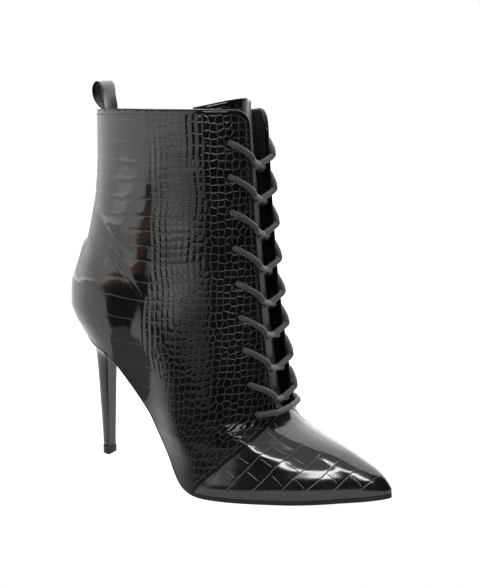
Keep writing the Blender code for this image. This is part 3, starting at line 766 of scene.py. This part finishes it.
def quarter_scales(points):
    """Pattern places on the quarters: belly rows behind, upright columns, then small cells in front."""
    columns, rows = points.shape[:2]
    seam = columns // 2
    girth = girth_from_middle(points)
    x = points[..., 0]
    z = points[..., 2]
    outer = np.arange(columns)[:, None] < seam
    setback = np.where(outer, girth[:1], girth[-1:]) - girth
    side = np.where(outer, 0.0, INNER_SHIFT)
    fore = np.empty_like(girth)
    for j in range(rows):
        for half in (slice(seam, None, -1), slice(seam, None)):
            fore[half, j] = girth[half, j] - np.interp(FORE_X, x[half, j], girth[half, j])
    climb = ROW_CLIMB * smooth(92, 120, x) * smooth(150, 120, z)
    row = row_number(z - climb + wobble(girth, z + side, 0.7))
    column = (fore + wobble(z * 1.6, fore, 0.7) + side) / COLUMN_WIDTH
    upright = smooth(0, 8, x - column_start(z) + wobble(z, x, 2.0))
    lift = CELL_CLIMB * smooth(95, 150, x) * smooth(150, 70, z)
    across = (fore + wobble(fore, z, 0.6) + side) / CELL_SIZE
    along = (z - lift + wobble(z, fore, 0.9)) / (CELL_SIZE * CELL_STRETCH)
    ragged = 4 * np.sin(z / 6.1 + side) + 2.5 * np.sin(z / 2.7 + 1)
    zone = smooth(-1.2, 1.2, x - cell_start(z) + ragged)
    foot = FOOT_FADE + (1 - FOOT_FADE) * smooth(0, 12, z - feather_z(x))
    edge = smooth(*EDGE_FADE, setback) * smooth(*EDGE_FADE, points[:, :1, 2] - z)
    return {
        "scale_rows": vectors(column, row, upright),
        "scale_cells": vectors(across, along, zone),
        "scale_edges": vectors(np.abs(girth - STRIP_HALF), edge * foot, 1.0),
        "gloss": triple(quarter_gloss(x, z)),
    }


def vamp_scales(points):
    """Pattern places on the vamp: broad bands across it, swept back down both sides, with a few ticks."""
    columns = points.shape[0]
    arc = girth_from_middle(points)
    x = points[..., 0]
    z = points[..., 2]
    side = np.where(np.arange(columns)[:, None] < columns // 2, 0.0, VAMP_INNER_SHIFT)
    row = band_number(x - BAND_SWEEP * z + wobble(arc, x + side, 0.5))
    column = (arc + wobble(x, arc, 0.8)) / COLUMN_WIDTH + side
    chance = np.sin(np.floor(row) * 5.1 + np.round(column) * 3.7 + side)
    inside = smooth(0.1, 0.2, np.abs(row - np.round(row)))
    upright = smooth(0.75, 0.85, chance) * inside * smooth(9, 14, arc)
    fade = smooth(0.5, 4, z - feather_z(x)) * smooth(1, 8, arc)
    return {
        "scale_rows": vectors(column, row, upright),
        "scale_cells": np.zeros_like(points),
        "scale_edges": vectors(FAR_FROM_SEAM, fade, 0.0),
        "gloss": np.full_like(points, FULL_GLOSS),
    }


def flat_scales(points):
    """Pattern places of an edge that carries no embossing."""
    none = np.zeros_like(points)
    return {
        "scale_rows": none,
        "scale_cells": none,
        "scale_edges": none + [FAR_FROM_SEAM, 0.0, 0.0],
        "gloss": none + EDGE_GLOSS,
    }


def quarter_gloss(x, z):
    """Gloss of the quarters: full behind, duller over the small cells and dullest low in front."""
    cells = smooth(-16, 14, x - cell_start(z))
    low = smooth(110, 55, z) * smooth(78, 112, x)
    gloss = FULL_GLOSS + (CELL_GLOSS - FULL_GLOSS) * cells
    return gloss + (LOW_GLOSS - gloss) * low


# Creases by girth from the back seam and height, with a lean in degrees: a ridge has a depth below zero
Crease = namedtuple("Crease", "girth z length lean width depth")
CREASES = [
    Crease(20, 150, 46, -40, 6, 0.9),
    Crease(34, 138, 50, -48, 7, -0.7),
    Crease(46, 159, 50, -31, 4, 0.4),
    Crease(66, 136, 52, -38, 1.7, 0.22),
    Crease(84, 107, 42, -76, 7, 0.34),
    Crease(51, 104, 38, -66, 1.8, 0.16),
]


def crease_depth(points):
    """Soft troughs and ridges at heel and ankle, the same on both sides."""
    girth = girth_from_middle(points)
    z = points[..., 2]
    total = np.zeros_like(z)
    for crease in CREASES:
        lean = math.radians(crease.lean)
        ahead = girth - crease.girth
        above = z - crease.z
        a = ahead * math.cos(lean) + above * math.sin(lean)
        b = above * math.cos(lean) - ahead * math.sin(lean)
        total += crease.depth * np.exp(-(b / crease.width) ** 2 - (2 * a / crease.length) ** 4)
    return total


HOLE_RADIUS = 2.1
HOLE_DEPTH = 2.1
HOLE_REACH = 3.0 * HOLE_RADIUS * MM
RIM_REACH = 2.2 * HOLE_RADIUS * MM


def punch_holes(mesh):
    """Open the lace holes in both flaps: clear the faces there, round the rims and turn them inwards."""
    shape = bmesh.new()
    shape.from_mesh(mesh)
    for side in ("out", "in"):
        for height in HOLE_HEIGHTS:
            level = np.array([height])
            angle = setback_angle(side, level, HOLE_SETBACK)
            middle = Vector(to_row(skin_point(side, angle, level, QUARTER_STEP)[0]))
            axis = Vector(outward(side, angle, level)[0])

            def place(vertex):
                gap = vertex.co - middle
                return gap - axis * gap.dot(axis)
            near = [v for v in shape.verts if (v.co - middle).length < HOLE_REACH]
            inner = [v for v in near if place(v).length < HOLE_RADIUS * MM]
            bmesh.ops.delete(shape, geom=inner, context="VERTS")
            rim = [e for e in shape.edges
                   if e.is_boundary and all((v.co - middle).length < RIM_REACH for v in e.verts)]
            for vertex in {v for e in rim for v in e.verts}:
                flat = place(vertex)
                vertex.co += flat.normalized() * (HOLE_RADIUS * MM) - flat
            made = bmesh.ops.extrude_edge_only(shape, edges=rim)["geom"]
            for vertex in [v for v in made if isinstance(v, bmesh.types.BMVert)]:
                vertex.co -= axis * (HOLE_DEPTH * MM)
    shape.to_mesh(mesh)
    shape.free()
    return mesh


# Columns and rows of the panels' grids, closer at the flaps' edges and at the collar
QUARTER_SHARES = np.concatenate([np.linspace(0, 0.93, 112, endpoint=False), np.linspace(0.93, 1, 18)])
QUARTER_ROWS = np.concatenate([np.linspace(0, 0.05, 16, endpoint=False), np.linspace(0.05, 1, 165)])
VAMP_SHARES = np.linspace(0, 1, 90)
VAMP_ROWS = np.linspace(0, 1, 80)
VAMP_TUCK = 0.12
TUCKED_EDGE = 0.15


def boundary(grid):
    """Path up the first column, along the top and down the last column."""
    return np.concatenate([grid[0, :0:-1], grid[:, 0], grid[-1, 1:]])


def build_quarters(material):
    points, normals = quarter_panels(QUARTER_STEP, QUARTER_SHARES, QUARTER_ROWS)
    points = points - normals * crease_depth(points)[..., None]
    body = Body()
    body.add_grid(points, **quarter_scales(points))
    path = boundary(points)
    above = smooth(THROAT_Z - 3, THROAT_Z + 1, path[:, 2])
    inner = -TUCKED_EDGE * (1 - above) - WALL * above
    rim = rim_strip(path, boundary(normals), QUARTER_STEP, inner, 7)
    body.add_grid(rim, **flat_scales(rim))
    mesh = punch_holes(emboss(tidy_mesh(body.mesh("upper_quarters")), True))
    add_object("upper_quarters", mesh, material, "upper", "upper")


def build_vamp(material):
    points, normals = vamp_panels(0.0, VAMP_SHARES, VAMP_ROWS, VAMP_TUCK)
    body = Body()
    body.add_grid(points, **vamp_scales(points))
    rim = rim_strip(points[::-1, 0], normals[::-1, 0], 0.0, -WALL, 6)
    body.add_grid(rim, **flat_scales(rim))
    mesh = emboss(tidy_mesh(body.mesh("upper_vamp")), False)
    add_object("upper_vamp", mesh, material, "upper", "upper")


def build_lining(material):
    body = Body()
    shares = np.append(QUARTER_SHARES[::3], 1.0)
    rows = np.append(QUARTER_ROWS[::4], 1.0)
    body.add_grid(quarter_panels(-WALL, shares, rows)[0])
    body.add_grid(vamp_panels(-WALL, VAMP_SHARES[::3], VAMP_ROWS[::3], 0.0)[0])
    mesh = body.mesh("upper_lining")
    mesh.flip_normals()
    add_object("upper_lining", mesh, material, "insole", "upper")


# Sole, insole and heel
def sole_edges(x):
    z = feather_z(x)
    angle = angle_at_x(x, z)
    middle = swing(x)
    out = np.minimum(base_point("out", angle, z)[..., 1] + SOLE_INSET, middle - LEAST_HALF_SOLE)
    inn = np.maximum(base_point("in", angle, z)[..., 1] - SOLE_INSET, middle + LEAST_HALF_SOLE)
    return out, inn


SoleStep = namedtuple("SoleStep", "depth inset")
SOLE_SIDE = [
    SoleStep(0.0, 0.5), SoleStep(0.0, 0.15), SoleStep(0.06, 0.0), SoleStep(0.25, -0.12),
    SoleStep(0.6, -0.14), SoleStep(0.88, 0.1), SoleStep(0.97, 0.45), SoleStep(1.0, 1.2),
]


def build_outsole(material):
    tip = front_x(feather_z(TOE_X)) - SOLE_INSET
    x = BREAST_X + (tip - BREAST_X) * np.sin(np.linspace(0, math.pi / 2, 150))
    down = sole_normal(x)
    out, inn = sole_edges(x)
    middle = (out + inn) / 2
    seat = vectors(x, 0.0, feather_z(x)) + down * SEAT_GAP
    thick = sole_thick(x)[:, None]

    def line(step, y):
        return seat + down * (thick * step.depth) + vectors(0.0, y, 0.0)
    lines = [line(step, np.minimum(out + step.inset, middle)) for step in SOLE_SIDE]
    lines += [line(step, np.maximum(inn - step.inset, middle)) for step in reversed(SOLE_SIDE)]
    rings = np.stack(lines, axis=1)
    body = Body()
    body.add_grid(rings, closed=True)
    body.add_fan(rings[0])
    body.add_fan(rings[-1])
    add_object("outsole_edge", tidy_mesh(body.mesh("outsole_edge")), material, "outsole", "outsole")


INSOLE_CLEARANCE = 0.9
INSOLE_LIFT = 2.0
INSOLE_CROWN = 0.6


def build_insole(material):
    angle = np.linspace(0.02, 0.985, 120) * math.pi
    z = feather_level(lambda level: angle, len(angle)) + INSOLE_LIFT
    out, inn = [skin_point(side, angle, z, -WALL - INSOLE_CLEARANCE)[:, None] for side in SIGN]
    across = np.linspace(0, 1, 25)[None, :, None]
    seat = out * (1 - across) + inn * across
    x = seat[..., 0]
    up = -sole_normal(x.ravel()).reshape(seat.shape)
    seat[..., 2] = feather_z(x)
    crown = INSOLE_CROWN * (1 - (2 * across - 1) ** 4)
    top = seat + up * (GAP + INSOLE_THICK - INSOLE_CROWN + crown)
    low = seat + up * GAP
    body = Body()
    body.add_grid(top)
    body.add_grid(low)
    for end in (0, -1):
        body.add_grid(np.stack([top[end], low[end]]))
        body.add_grid(np.stack([top[:, end], low[:, end]]))
    add_object("insole_sock", tidy_mesh(body.mesh("insole_sock")), material, "insole", "insole")


HEEL_TURNS = np.linspace(-math.pi / 2, math.pi / 2, 49)
HEEL_MERGE = 2e-5
RINGS_PER_SPAN = 6
SEAT_BACK_RANGE = (2.0, 20.0)
SeatRing = namedtuple("SeatRing", "drop inset")
SEAT_RINGS = [SeatRing(0.0, 0.4), SeatRing(0.45 * HEEL_LIP, 0.45), SeatRing(HEEL_LIP, 1.2)]
TipRing = namedtuple("TipRing", "z grow")
TIP_RINGS = [
    TipRing(TOP_PIECE_THICK, 0.0), TipRing(5.4, TOP_PIECE_LIP), TipRing(3.0, TOP_PIECE_LIP),
    TipRing(0.5, TOP_PIECE_LIP), TipRing(0.12, TOP_PIECE_LIP / 2), TipRing(0.0, -0.2),
]


def seat_ring(ring):
    """Ring under the heel seat, a drop below the feather and an inset inside it."""
    front = BREAST_X - GAP
    rear = solve(lambda x: x - back_x(feather_z(x)), *SEAT_BACK_RANGE) + ring.inset
    x = rear + (front - rear) * (1 - np.cos(HEEL_TURNS))
    z = feather_z(x)
    angle = angle_at_x(x - ring.inset, z)
    out, inn = [base_point(side, angle, z)[:, 1] for side in SIGN]
    y = np.where(HEEL_TURNS < 0, out, inn)
    y = y - np.sign(HEEL_TURNS) * np.minimum(ring.inset, np.abs(y) / 2)
    return vectors(x, y, z) + sole_normal(x) * (SEAT_GAP + ring.drop)


def stem_ring(ring):
    share = 1 - np.cos(HEEL_TURNS)
    x = ring.x_back + (ring.x_front - ring.x_back) * share
    z = ring.z_back + (ring.z_front - ring.z_back) * share
    return vectors(x, ring.half_width * np.sin(HEEL_TURNS), z)


def stack_rings(name, rings, material, slot, node):
    """Closed body through rings, its flat breast side closed by a strip."""
    rings = np.asarray(rings)
    breast = np.linspace(0, 1, 9)[1:-1]
    front = rings[:, -1:] * (1 - breast)[None, :, None] + rings[:, :1] * breast[None, :, None]
    loops = np.concatenate([rings, front], axis=1)
    body = Body()
    body.add_grid(loops, closed=True)
    for ring in (rings[0], rings[-1]):
        half = len(HEEL_TURNS) // 2 + 1
        body.add_grid(np.stack([ring[:half], ring[::-1][:half]]))
    strip = loops[0, len(HEEL_TURNS) - 1:]
    body.add_grid(np.stack([strip, np.repeat(rings[0, -1:], len(strip), axis=0)]))
    add_object(name, tidy_mesh(body.mesh(name), HEEL_MERGE), material, slot, node)


def heel_stack():
    """Rings of the heel, the table's rings eased into a smooth run."""
    rings = [seat_ring(ring) for ring in SEAT_RINGS] + [stem_ring(ring) for ring in HEEL_RINGS]
    rings = np.asarray(rings)
    marks = arc_length(rings[:, len(HEEL_TURNS) // 2])
    spans = [np.linspace(a, b, RINGS_PER_SPAN, endpoint=False) for a, b in zip(marks, marks[1:])]
    runs = np.concatenate(spans + [marks[-1:]])
    eased = np.empty((len(runs), *rings.shape[1:]))
    for j in range(rings.shape[1]):
        for axis in range(3):
            eased[:, j, axis] = Curve(zip(marks, rings[:, j, axis]))(runs)
    return eased


def build_heel(material):
    stack_rings("heel_cover", heel_stack(), material, "heel", "heel")


def build_top_piece(material):
    last = HEEL_RINGS[-1]
    rings = []
    for z, grow in TIP_RINGS:
        ring = HeelRing(last.x_back - grow, last.x_front + grow, last.half_width + grow, z, z)
        rings.append(stem_ring(ring))
    stack_rings("heel_tip", rings, material, "heel_top_piece", "heel_top_piece")


# Tongue
def tongue_sheet(rows, columns):
    """Front face of the tongue, behind the last's front by the table's depths, its normals and levels."""
    half_width, lean, depth_mid, depth_side = [
        Curve([(row.z, getattr(row, name)) for row in TONGUE_ROWS])
        for name in ("half_width", "lean", "depth_mid", "depth_side")]
    bottom = TONGUE_ROWS[0].z
    across = np.linspace(-1, 1, columns)[None]
    top = TONGUE_ROWS[-1].z - TONGUE_ARCH * (across - TONGUE_PEAK) ** 2
    z = bottom + (top - bottom) * np.linspace(0, 1, rows)[:, None]
    y = lean(z) + across * half_width(z)
    middle = np.exp(-(y / TONGUE_RIDGE) ** 2)
    behind = depth_side(z) * (1 - middle) + depth_mid(z) * middle
    points = np.zeros((rows, columns, 3))
    normals = np.zeros_like(points)
    for side, mine in (("out", y < 0), ("in", y >= 0)):
        def short(angle):
            return np.abs(y) - np.abs(base_point(side, angle, z)[..., 1] - swing(front_x(z)))
        angle = solve(short, np.full(z.shape, math.pi / 2), np.full(z.shape, math.pi))
        turned = outward(side, angle, z)
        normals[mine] = turned[mine]
        points[mine] = (base_point(side, angle, z) - turned * behind[..., None])[mine]
    return points, normals, z


def build_tongue(material):
    """Tongue with small cells and a plain strip along its inner edge."""
    points, normals, z = tongue_sheet(150, 61)
    run = arc_length(points)
    inward = smooth(*TONGUE_STRIP, run[:, -1:] - run)
    fade = smooth(*EDGE_FADE, run) * inward * smooth(1.0, 3.0, z[-1:] - z)
    body = Body()
    body.add_grid(
        points,
        scale_rows=vectors(run / COLUMN_WIDTH, z / ROW_HEIGHT, 1.0),
        scale_cells=vectors(run / CELL_SIZE + TONGUE_SHIFT, z / CELL_SIZE, 1.0),
        scale_edges=vectors(FAR_FROM_SEAM, fade, 0.0),
        gloss=triple(STRIP_GLOSS + (CELL_GLOSS - STRIP_GLOSS) * inward),
        plain=triple(1 - inward),
    )
    rear = points - normals * TONGUE_THICK

    def outline(grid):
        return np.concatenate([grid[:, 0], grid[-1, 1:], grid[::-1, -1][1:]])[::-1]
    rim = rim_strip(outline(points), outline(normals), TONGUE_THICK, 0.0, 6)
    for face in (rim, rear):
        body.add_grid(face, plain=np.zeros_like(face), **flat_scales(face))
    mesh = emboss(tidy_mesh(body.mesh("tongue_leather")), True)
    add_object("tongue_leather", mesh, material, "tongue", "tongue")


# Pull loop
def loop_line(extra, steps):
    """Side view of the strap, foot to foot over the crown, extra millimetres out from its inner face."""
    leg = float(back_x(COLLAR_Z)) + WALL + GAP + LOOP_STRAP
    neck = COLLAR_Z + LOOP_NECK
    belly = neck + LOOP_BELLY
    crown_rise = LOOP_HEIGHT - LOOP_STRAP - (belly - COLLAR_Z)
    share = np.linspace(0, 1, steps)
    ease = 1 - (1 - share) ** 3
    feet = np.linspace(COLLAR_Z - LOOP_LEG_DEPTH, neck, 8)[:-1]

    def leg_line(sign):
        foot = np.stack(np.broadcast_arrays(leg + sign * extra, feet), axis=-1)
        x = leg + LOOP_LEAN * ease + sign * (extra + LOOP_GAP / 2 * ease)
        return np.concatenate([foot, np.stack([x, neck + LOOP_BELLY * share], axis=-1)])
    turn = np.linspace(math.pi, 0, 2 * steps)[1:-1]
    arch_x = leg + LOOP_LEAN + (LOOP_GAP / 2 + extra) * np.cos(turn)
    arch_z = belly + (crown_rise + extra) * np.sin(turn)
    return np.concatenate([leg_line(-1), np.stack([arch_x, arch_z], axis=-1), leg_line(1)[::-1]])


def collar_bow(y):
    """How far the collar's back lies ahead of its rearmost point, at each place across."""
    level = np.full(len(y), COLLAR_Z)

    def past(angle):
        return base_point("in", angle, level)[..., 1] - np.abs(y)
    angle = solve(past, np.zeros(len(y)), np.ones(len(y)))
    return base_point("in", angle, level)[:, 0] - back_x(COLLAR_Z)


LOOP_INNER_FACE = 0.06
LOOP_STEPS = 14
LOOP_EDGE_POWER = 16


def build_pull_loop(material):
    """A strap folded over itself, with soft edges along both sides."""
    y = LOOP_WIDTH / 2 * np.sin(np.linspace(-math.pi / 2, math.pi / 2, 25))
    bow = collar_bow(y)
    soft = np.sqrt(np.maximum(1 - (2 * y / LOOP_WIDTH) ** LOOP_EDGE_POWER, 0))[:, None, None]
    middle = loop_line(LOOP_STRAP / 2, LOOP_STEPS)[None]
    faces = []
    for extra in (LOOP_STRAP, LOOP_INNER_FACE):
        eased = middle + (loop_line(extra, LOOP_STEPS)[None] - middle) * soft
        x = eased[..., 0]
        z = eased[..., 1]
        neck = COLLAR_Z + LOOP_NECK
        faces.append(vectors(x + bow[:, None] * (1 - smooth(neck, neck + LOOP_BELLY, z)), y[:, None], z))
    body = Body()
    # inner is 1 on the inner face and the feet, which the strap material paints near-black as painted shade.
    for inner, face in enumerate(faces):
        body.add_grid(face, inner=np.full_like(face, inner))
    for end in (0, -1):
        foot = np.stack([face[:, end] for face in faces])
        body.add_grid(foot, inner=np.ones_like(foot))
    add_object("pull_strap", tidy_mesh(body.mesh("pull_strap")), material, "pull_loop", "pull_loop")


# Lace
def flap_place(side, z, setback, lift):
    angle = setback_angle(side, np.array([z]), setback)
    return skin_point(side, angle, np.array([z]), lift)[0]


OUTSIDE = QUARTER_STEP + LACE_RADIUS + 0.1
INSIDE = -WALL - LACE_RADIUS - LACE_CLEARANCE
BAR_SETBACKS = (0.0, 6.0, 10.5)
BAR_BOW = 1.2
LACE_SIDES = 14
BRAID_PITCH = 2.2
POINTS_PER_SPAN = 9

# Course of the lace from one hole up to the next on the other flap: share of the rise, place and lift
LacePoint = namedtuple("LacePoint", "flap share setback lift")
LACE_COURSE = [
    LacePoint("near", 0.0, HOLE_SETBACK, -0.3),
    LacePoint("near", 0.03, 8.5, INSIDE + 0.2),
    LacePoint("near", 0.16, 1.0, INSIDE),
    LacePoint("far", 0.44, -2.0, 0.6),
    LacePoint("far", 0.60, 0.6, OUTSIDE),
    LacePoint("far", 0.79, 5.0, OUTSIDE + 0.1),
    LacePoint("far", 0.95, 10.2, OUTSIDE),
]
LACE_END_LIFT = -0.6


def spline(points, per_span):
    """Smooth run through points, evenly sampled on each span."""
    points = np.asarray(points)
    padded = np.vstack([2 * points[0] - points[1], points, 2 * points[-1] - points[-2]])
    t = np.linspace(0, 1, per_span, endpoint=False)[:, None]
    runs = []
    for a, b, c, d in zip(padded, padded[1:], padded[2:], padded[3:]):
        square = 2 * a - 5 * b + 4 * c - d
        cube = 3 * b - a - 3 * c + d
        runs.append(0.5 * (2 * b + (c - a) * t + square * t ** 2 + cube * t ** 3))
    return np.vstack(runs + [points[-1:]])


def strand_route(start_side):
    """Half the lace: from the bar into the lowest hole, then criss-cross up to the top hole."""
    flaps = {"near": start_side, "far": "in" if start_side == "out" else "out"}
    lowest = HOLE_HEIGHTS[0]
    middle = sum(flap_place(side, lowest, -0.5, OUTSIDE) for side in SIGN) / 2
    points = [middle + [BAR_BOW, 0, 0]]
    points += [flap_place(start_side, lowest, setback, OUTSIDE) for setback in BAR_SETBACKS]
    for low, high in zip(HOLE_HEIGHTS, HOLE_HEIGHTS[1:]):
        for spot in LACE_COURSE:
            z = low + spot.share * (high - low)
            points.append(flap_place(flaps[spot.flap], z, spot.setback, spot.lift))
        flaps = {"near": flaps["far"], "far": flaps["near"]}
    points.append(flap_place(flaps["near"], HOLE_HEIGHTS[-1], HOLE_SETBACK, LACE_END_LIFT))
    return points


def tube_grid(path, radius, sides):
    """Rings of points along a path, turned as little as possible from ring to ring."""
    ahead = unit(np.gradient(path, axis=0))
    aside = np.zeros_like(path)
    guide = np.array([1.0, 0.0, 0.0])
    for i, direction in enumerate(ahead):
        guide = unit(guide - direction * np.dot(guide, direction))
        aside[i] = guide
    over = np.cross(ahead, aside)[:, None]
    turn = np.linspace(0, 2 * math.pi, sides, endpoint=False)[None, :, None]
    return path[:, None] + radius * (np.cos(turn) * aside[:, None] + np.sin(turn) * over)


def build_lace(material):
    body = Body()
    for start in SIGN:
        path = spline(strand_route(start), POINTS_PER_SPAN)
        rings = tube_grid(path, LACE_RADIUS, LACE_SIDES)
        rings = np.concatenate([rings, rings[:, :1]], axis=1)
        around = np.arange(LACE_SIDES + 1)[None] / LACE_SIDES
        body.add_grid(rings, braid=vectors(around, arc_length(path)[:, None] / BRAID_PITCH, 0.0))
    nodes = ["lace_bar"] + [f"lace_crossing_{i}" for i in range(1, len(HOLE_HEIGHTS))]
    add_object("lace_cord", body.mesh("lace_cord"), material, "lace", *nodes)


# Stitching along the edges
STITCH_INSET = 2.2
STITCH_PITCH = 3.0
STITCH_MARGIN = 4.0
STITCH_LENGTH = 2.2
STITCH_SHARES = np.array([-0.5, -0.35, 0, 0.35, 0.5])
STITCH_LIFTS = np.array([-0.15, 0.12, 0.2, 0.12, -0.15])
THREAD_RADIUS = 0.22


def build_stitches(material):
    """Short thread stitches a little inside the collar, the flaps and the quarter's edge."""
    points, normals = quarter_panels(QUARTER_STEP, QUARTER_SHARES, QUARTER_ROWS)
    path = boundary(points)
    turned = boundary(normals)
    ahead = unit(np.gradient(path, axis=0))
    path = path - unit(np.cross(ahead, turned)) * STITCH_INSET
    run = arc_length(path)

    def at(distance, values):
        return np.stack([np.interp(distance, run, values[:, axis]) for axis in range(3)], axis=-1)
    body = Body()
    for mark in np.arange(STITCH_MARGIN, run[-1] - STITCH_MARGIN, STITCH_PITCH):
        spots = mark + STITCH_LENGTH * STITCH_SHARES
        line = at(spots, path) + unit(at(spots, turned)) * STITCH_LIFTS[:, None]
        body.add_grid(tube_grid(line, THREAD_RADIUS, 6), closed=True)
    add_object("edge_stitches", body.mesh("edge_stitches"), material, "upper")


# Studio: a white table cut to an outline, with cards and softboxes round it
TableCorner = namedtuple("TableCorner", "x y")
TABLE_EDGE = [
    TableCorner(2000, -115), TableCorner(2000, 1700), TableCorner(-1500, 1700), TableCorner(-1500, -961),
    TableCorner(-930, -961), TableCorner(-720, -720), TableCorner(-544, -690), TableCorner(-121, -213),
    TableCorner(-70, -100), TableCorner(60, -75), TableCorner(400, -75),
]


def build_floor():
    mesh = bpy.data.meshes.new("studio_floor")
    corners = to_row([(corner.x, corner.y, 0) for corner in TABLE_EDGE])
    mesh.from_pydata(corners.tolist(), [], [list(range(len(corners)))])
    floor = link_object("studio_floor", mesh)
    pale = Material("pale_floor")
    pale.look(grey(0.22), 0.9, 0.5)
    pale.shader.inputs["Emission Color"].default_value = grey(1.0)
    pale.shader.inputs["Emission Strength"].default_value = 0.95
    mesh.materials.append(pale.data)


WHITE = (1.0, 1.0, 1.0)
COOL = (0.97, 0.98, 1.0)
SKY = (0.92, 0.97, 1.0)
BROWN = (1.0, 0.5, 0.24)
Lamp = namedtuple("Lamp", "name azimuth distance height tilt width tall radiance color")
LAMPS = [
    Lamp("table_card", -20, 0.62, 0.03, 0, 0.34, 0.06, 0.9, COOL),
    Lamp("front_card_low", -15, 0.90, 0.04, 0, 0.72, 0.12, 1.2, COOL),
    Lamp("front_card", -15, 0.90, 0.50, 0, 0.72, 0.80, 1.9, COOL),
    Lamp("rear_card", -73, 1.20, 0.45, 0, 1.46, 1.00, 2.0, COOL),
    Lamp("side_card", -123, 1.20, 0.45, 0, 0.85, 1.00, 1.4, COOL),
    Lamp("corner_card", -39, 1.15, 0.50, 0, 0.10, 0.96, 2.0, COOL),
    Lamp("warm_patch", -43, 1.0, 0.003, -90, 0.22, 0.22, 0.5, BROWN),
    Lamp("front_apron", -35, 0.255, -0.002, -90, 0.27, 0.27, 0.45, WHITE),
    Lamp("back_wall", 180, 1.5, 0.70, 0, 2.4, 1.2, 3.6, WHITE),
    Lamp("ceiling", 180, 0.5, 1.25, 90, 2.4, 2.0, 4.0, WHITE),
    Lamp("key_softbox", 31, 1.1, 0.41, 15, 0.56, 0.14, 26, WHITE),
    Lamp("upper_card", 34, 1.2, 1.05, 20, 1.05, 0.95, 1.0, SKY),
]


def build_lamps(target):
    """Cards stand by azimuth, distance and height about the shoe and face it, tilted down."""
    for lamp in LAMPS:
        a = math.radians(lamp.azimuth)
        t = math.radians(lamp.tilt)
        away = Vector((math.sin(a), -math.cos(a), 0))
        light = bpy.data.lights.new(lamp.name, "AREA")
        light.shape = "RECTANGLE"
        light.size = lamp.width
        light.size_y = lamp.tall
        light.energy = lamp.radiance * lamp.width * lamp.tall * math.pi
        light.color = lamp.color
        thing = link_object(lamp.name, light)
        thing.location = Vector((target[0], target[1], lamp.height)) + away * lamp.distance
        back = away * math.cos(t) + Vector((0, 0, math.sin(t)))
        thing.rotation_euler = back.to_track_quat("Z", "Y").to_euler()
        thing.visible_camera = False


def build_world():
    """White to the camera, dim in reflections, like a shoe on a lit sweep in a dark studio."""
    world = bpy.data.worlds.new("studio")
    world.use_nodes = True
    nodes = Nodes(world.node_tree)
    background = world.node_tree.nodes["Background"]
    ray = nodes.new("ShaderNodeLightPath")
    color = nodes.mix_color(ray.outputs["Is Camera Ray"], grey(0.06, 0.005), grey(1.0))
    nodes.put(background.inputs["Color"], color)
    bpy.context.scene.world = world


# Camera fitted to the photo: view angle, distance and focal length in pixels of the 480 by 587 frame
VIEW_AZIMUTH = 29.0
VIEW_ELEVATION = 12.8
VIEW_DISTANCE = 740.0
VIEW_TARGET = (125.0, 0.0, 122.1)
FOCAL_PIXELS = 1195.0
FRAME_HEIGHT_PIXELS = 587.0


def build_camera():
    camera = bpy.data.cameras.new("photo_camera")
    camera.sensor_fit = "AUTO"
    camera.sensor_width = 36.0
    camera.lens = camera.sensor_width * FOCAL_PIXELS / FRAME_HEIGHT_PIXELS
    camera.clip_start = 0.01
    camera.clip_end = 50.0
    a = math.radians(VIEW_AZIMUTH)
    e = math.radians(VIEW_ELEVATION)
    back = Vector((math.sin(a) * math.cos(e), -math.cos(a) * math.cos(e), math.sin(e)))
    thing = link_object("photo_camera", camera)
    thing.location = Vector(to_row(VIEW_TARGET)) + back * VIEW_DISTANCE * MM
    thing.rotation_euler = back.to_track_quat("Z", "Y").to_euler()
    bpy.context.scene.camera = thing


def build_shoe():
    patent = patent_material("embossed_patent", True, 0.05, 0.05)
    lining = grained_material("dark_lining", grey(0.002, 0.001), grey(0.004, 0.002), 0.75, 900, 0.05, 0.08)
    build_quarters(patent)
    build_vamp(patent_material("vamp_patent", False, 0.13, 0.02))
    build_lining(lining)
    build_outsole(grained_material("sole_leather", grey(0.003), grey(0.006), 0.5, 700, 0.05, 0.15))
    build_heel(grained_material("heel_cover", grey(0.006, 0.001), grey(0.011, 0.001), 0.2, 500, 0.01, 0.3))
    build_top_piece(grained_material("tip_rubber", grey(0.005), grey(0.01), 0.55, 1200, 0.06, 0.2))
    build_insole(lining)
    build_tongue(patent)
    build_pull_loop(strap_material())
    build_lace(cord_material())
    build_stitches(grained_material("black_thread", grey(0.012), grey(0.03), 0.6, 3000, 0.03, 0.3))


build_shoe()
build_floor()
build_lamps(to_row(VIEW_TARGET))
build_world()
build_camera()
bpy.context.scene.view_settings.view_transform = "Standard"
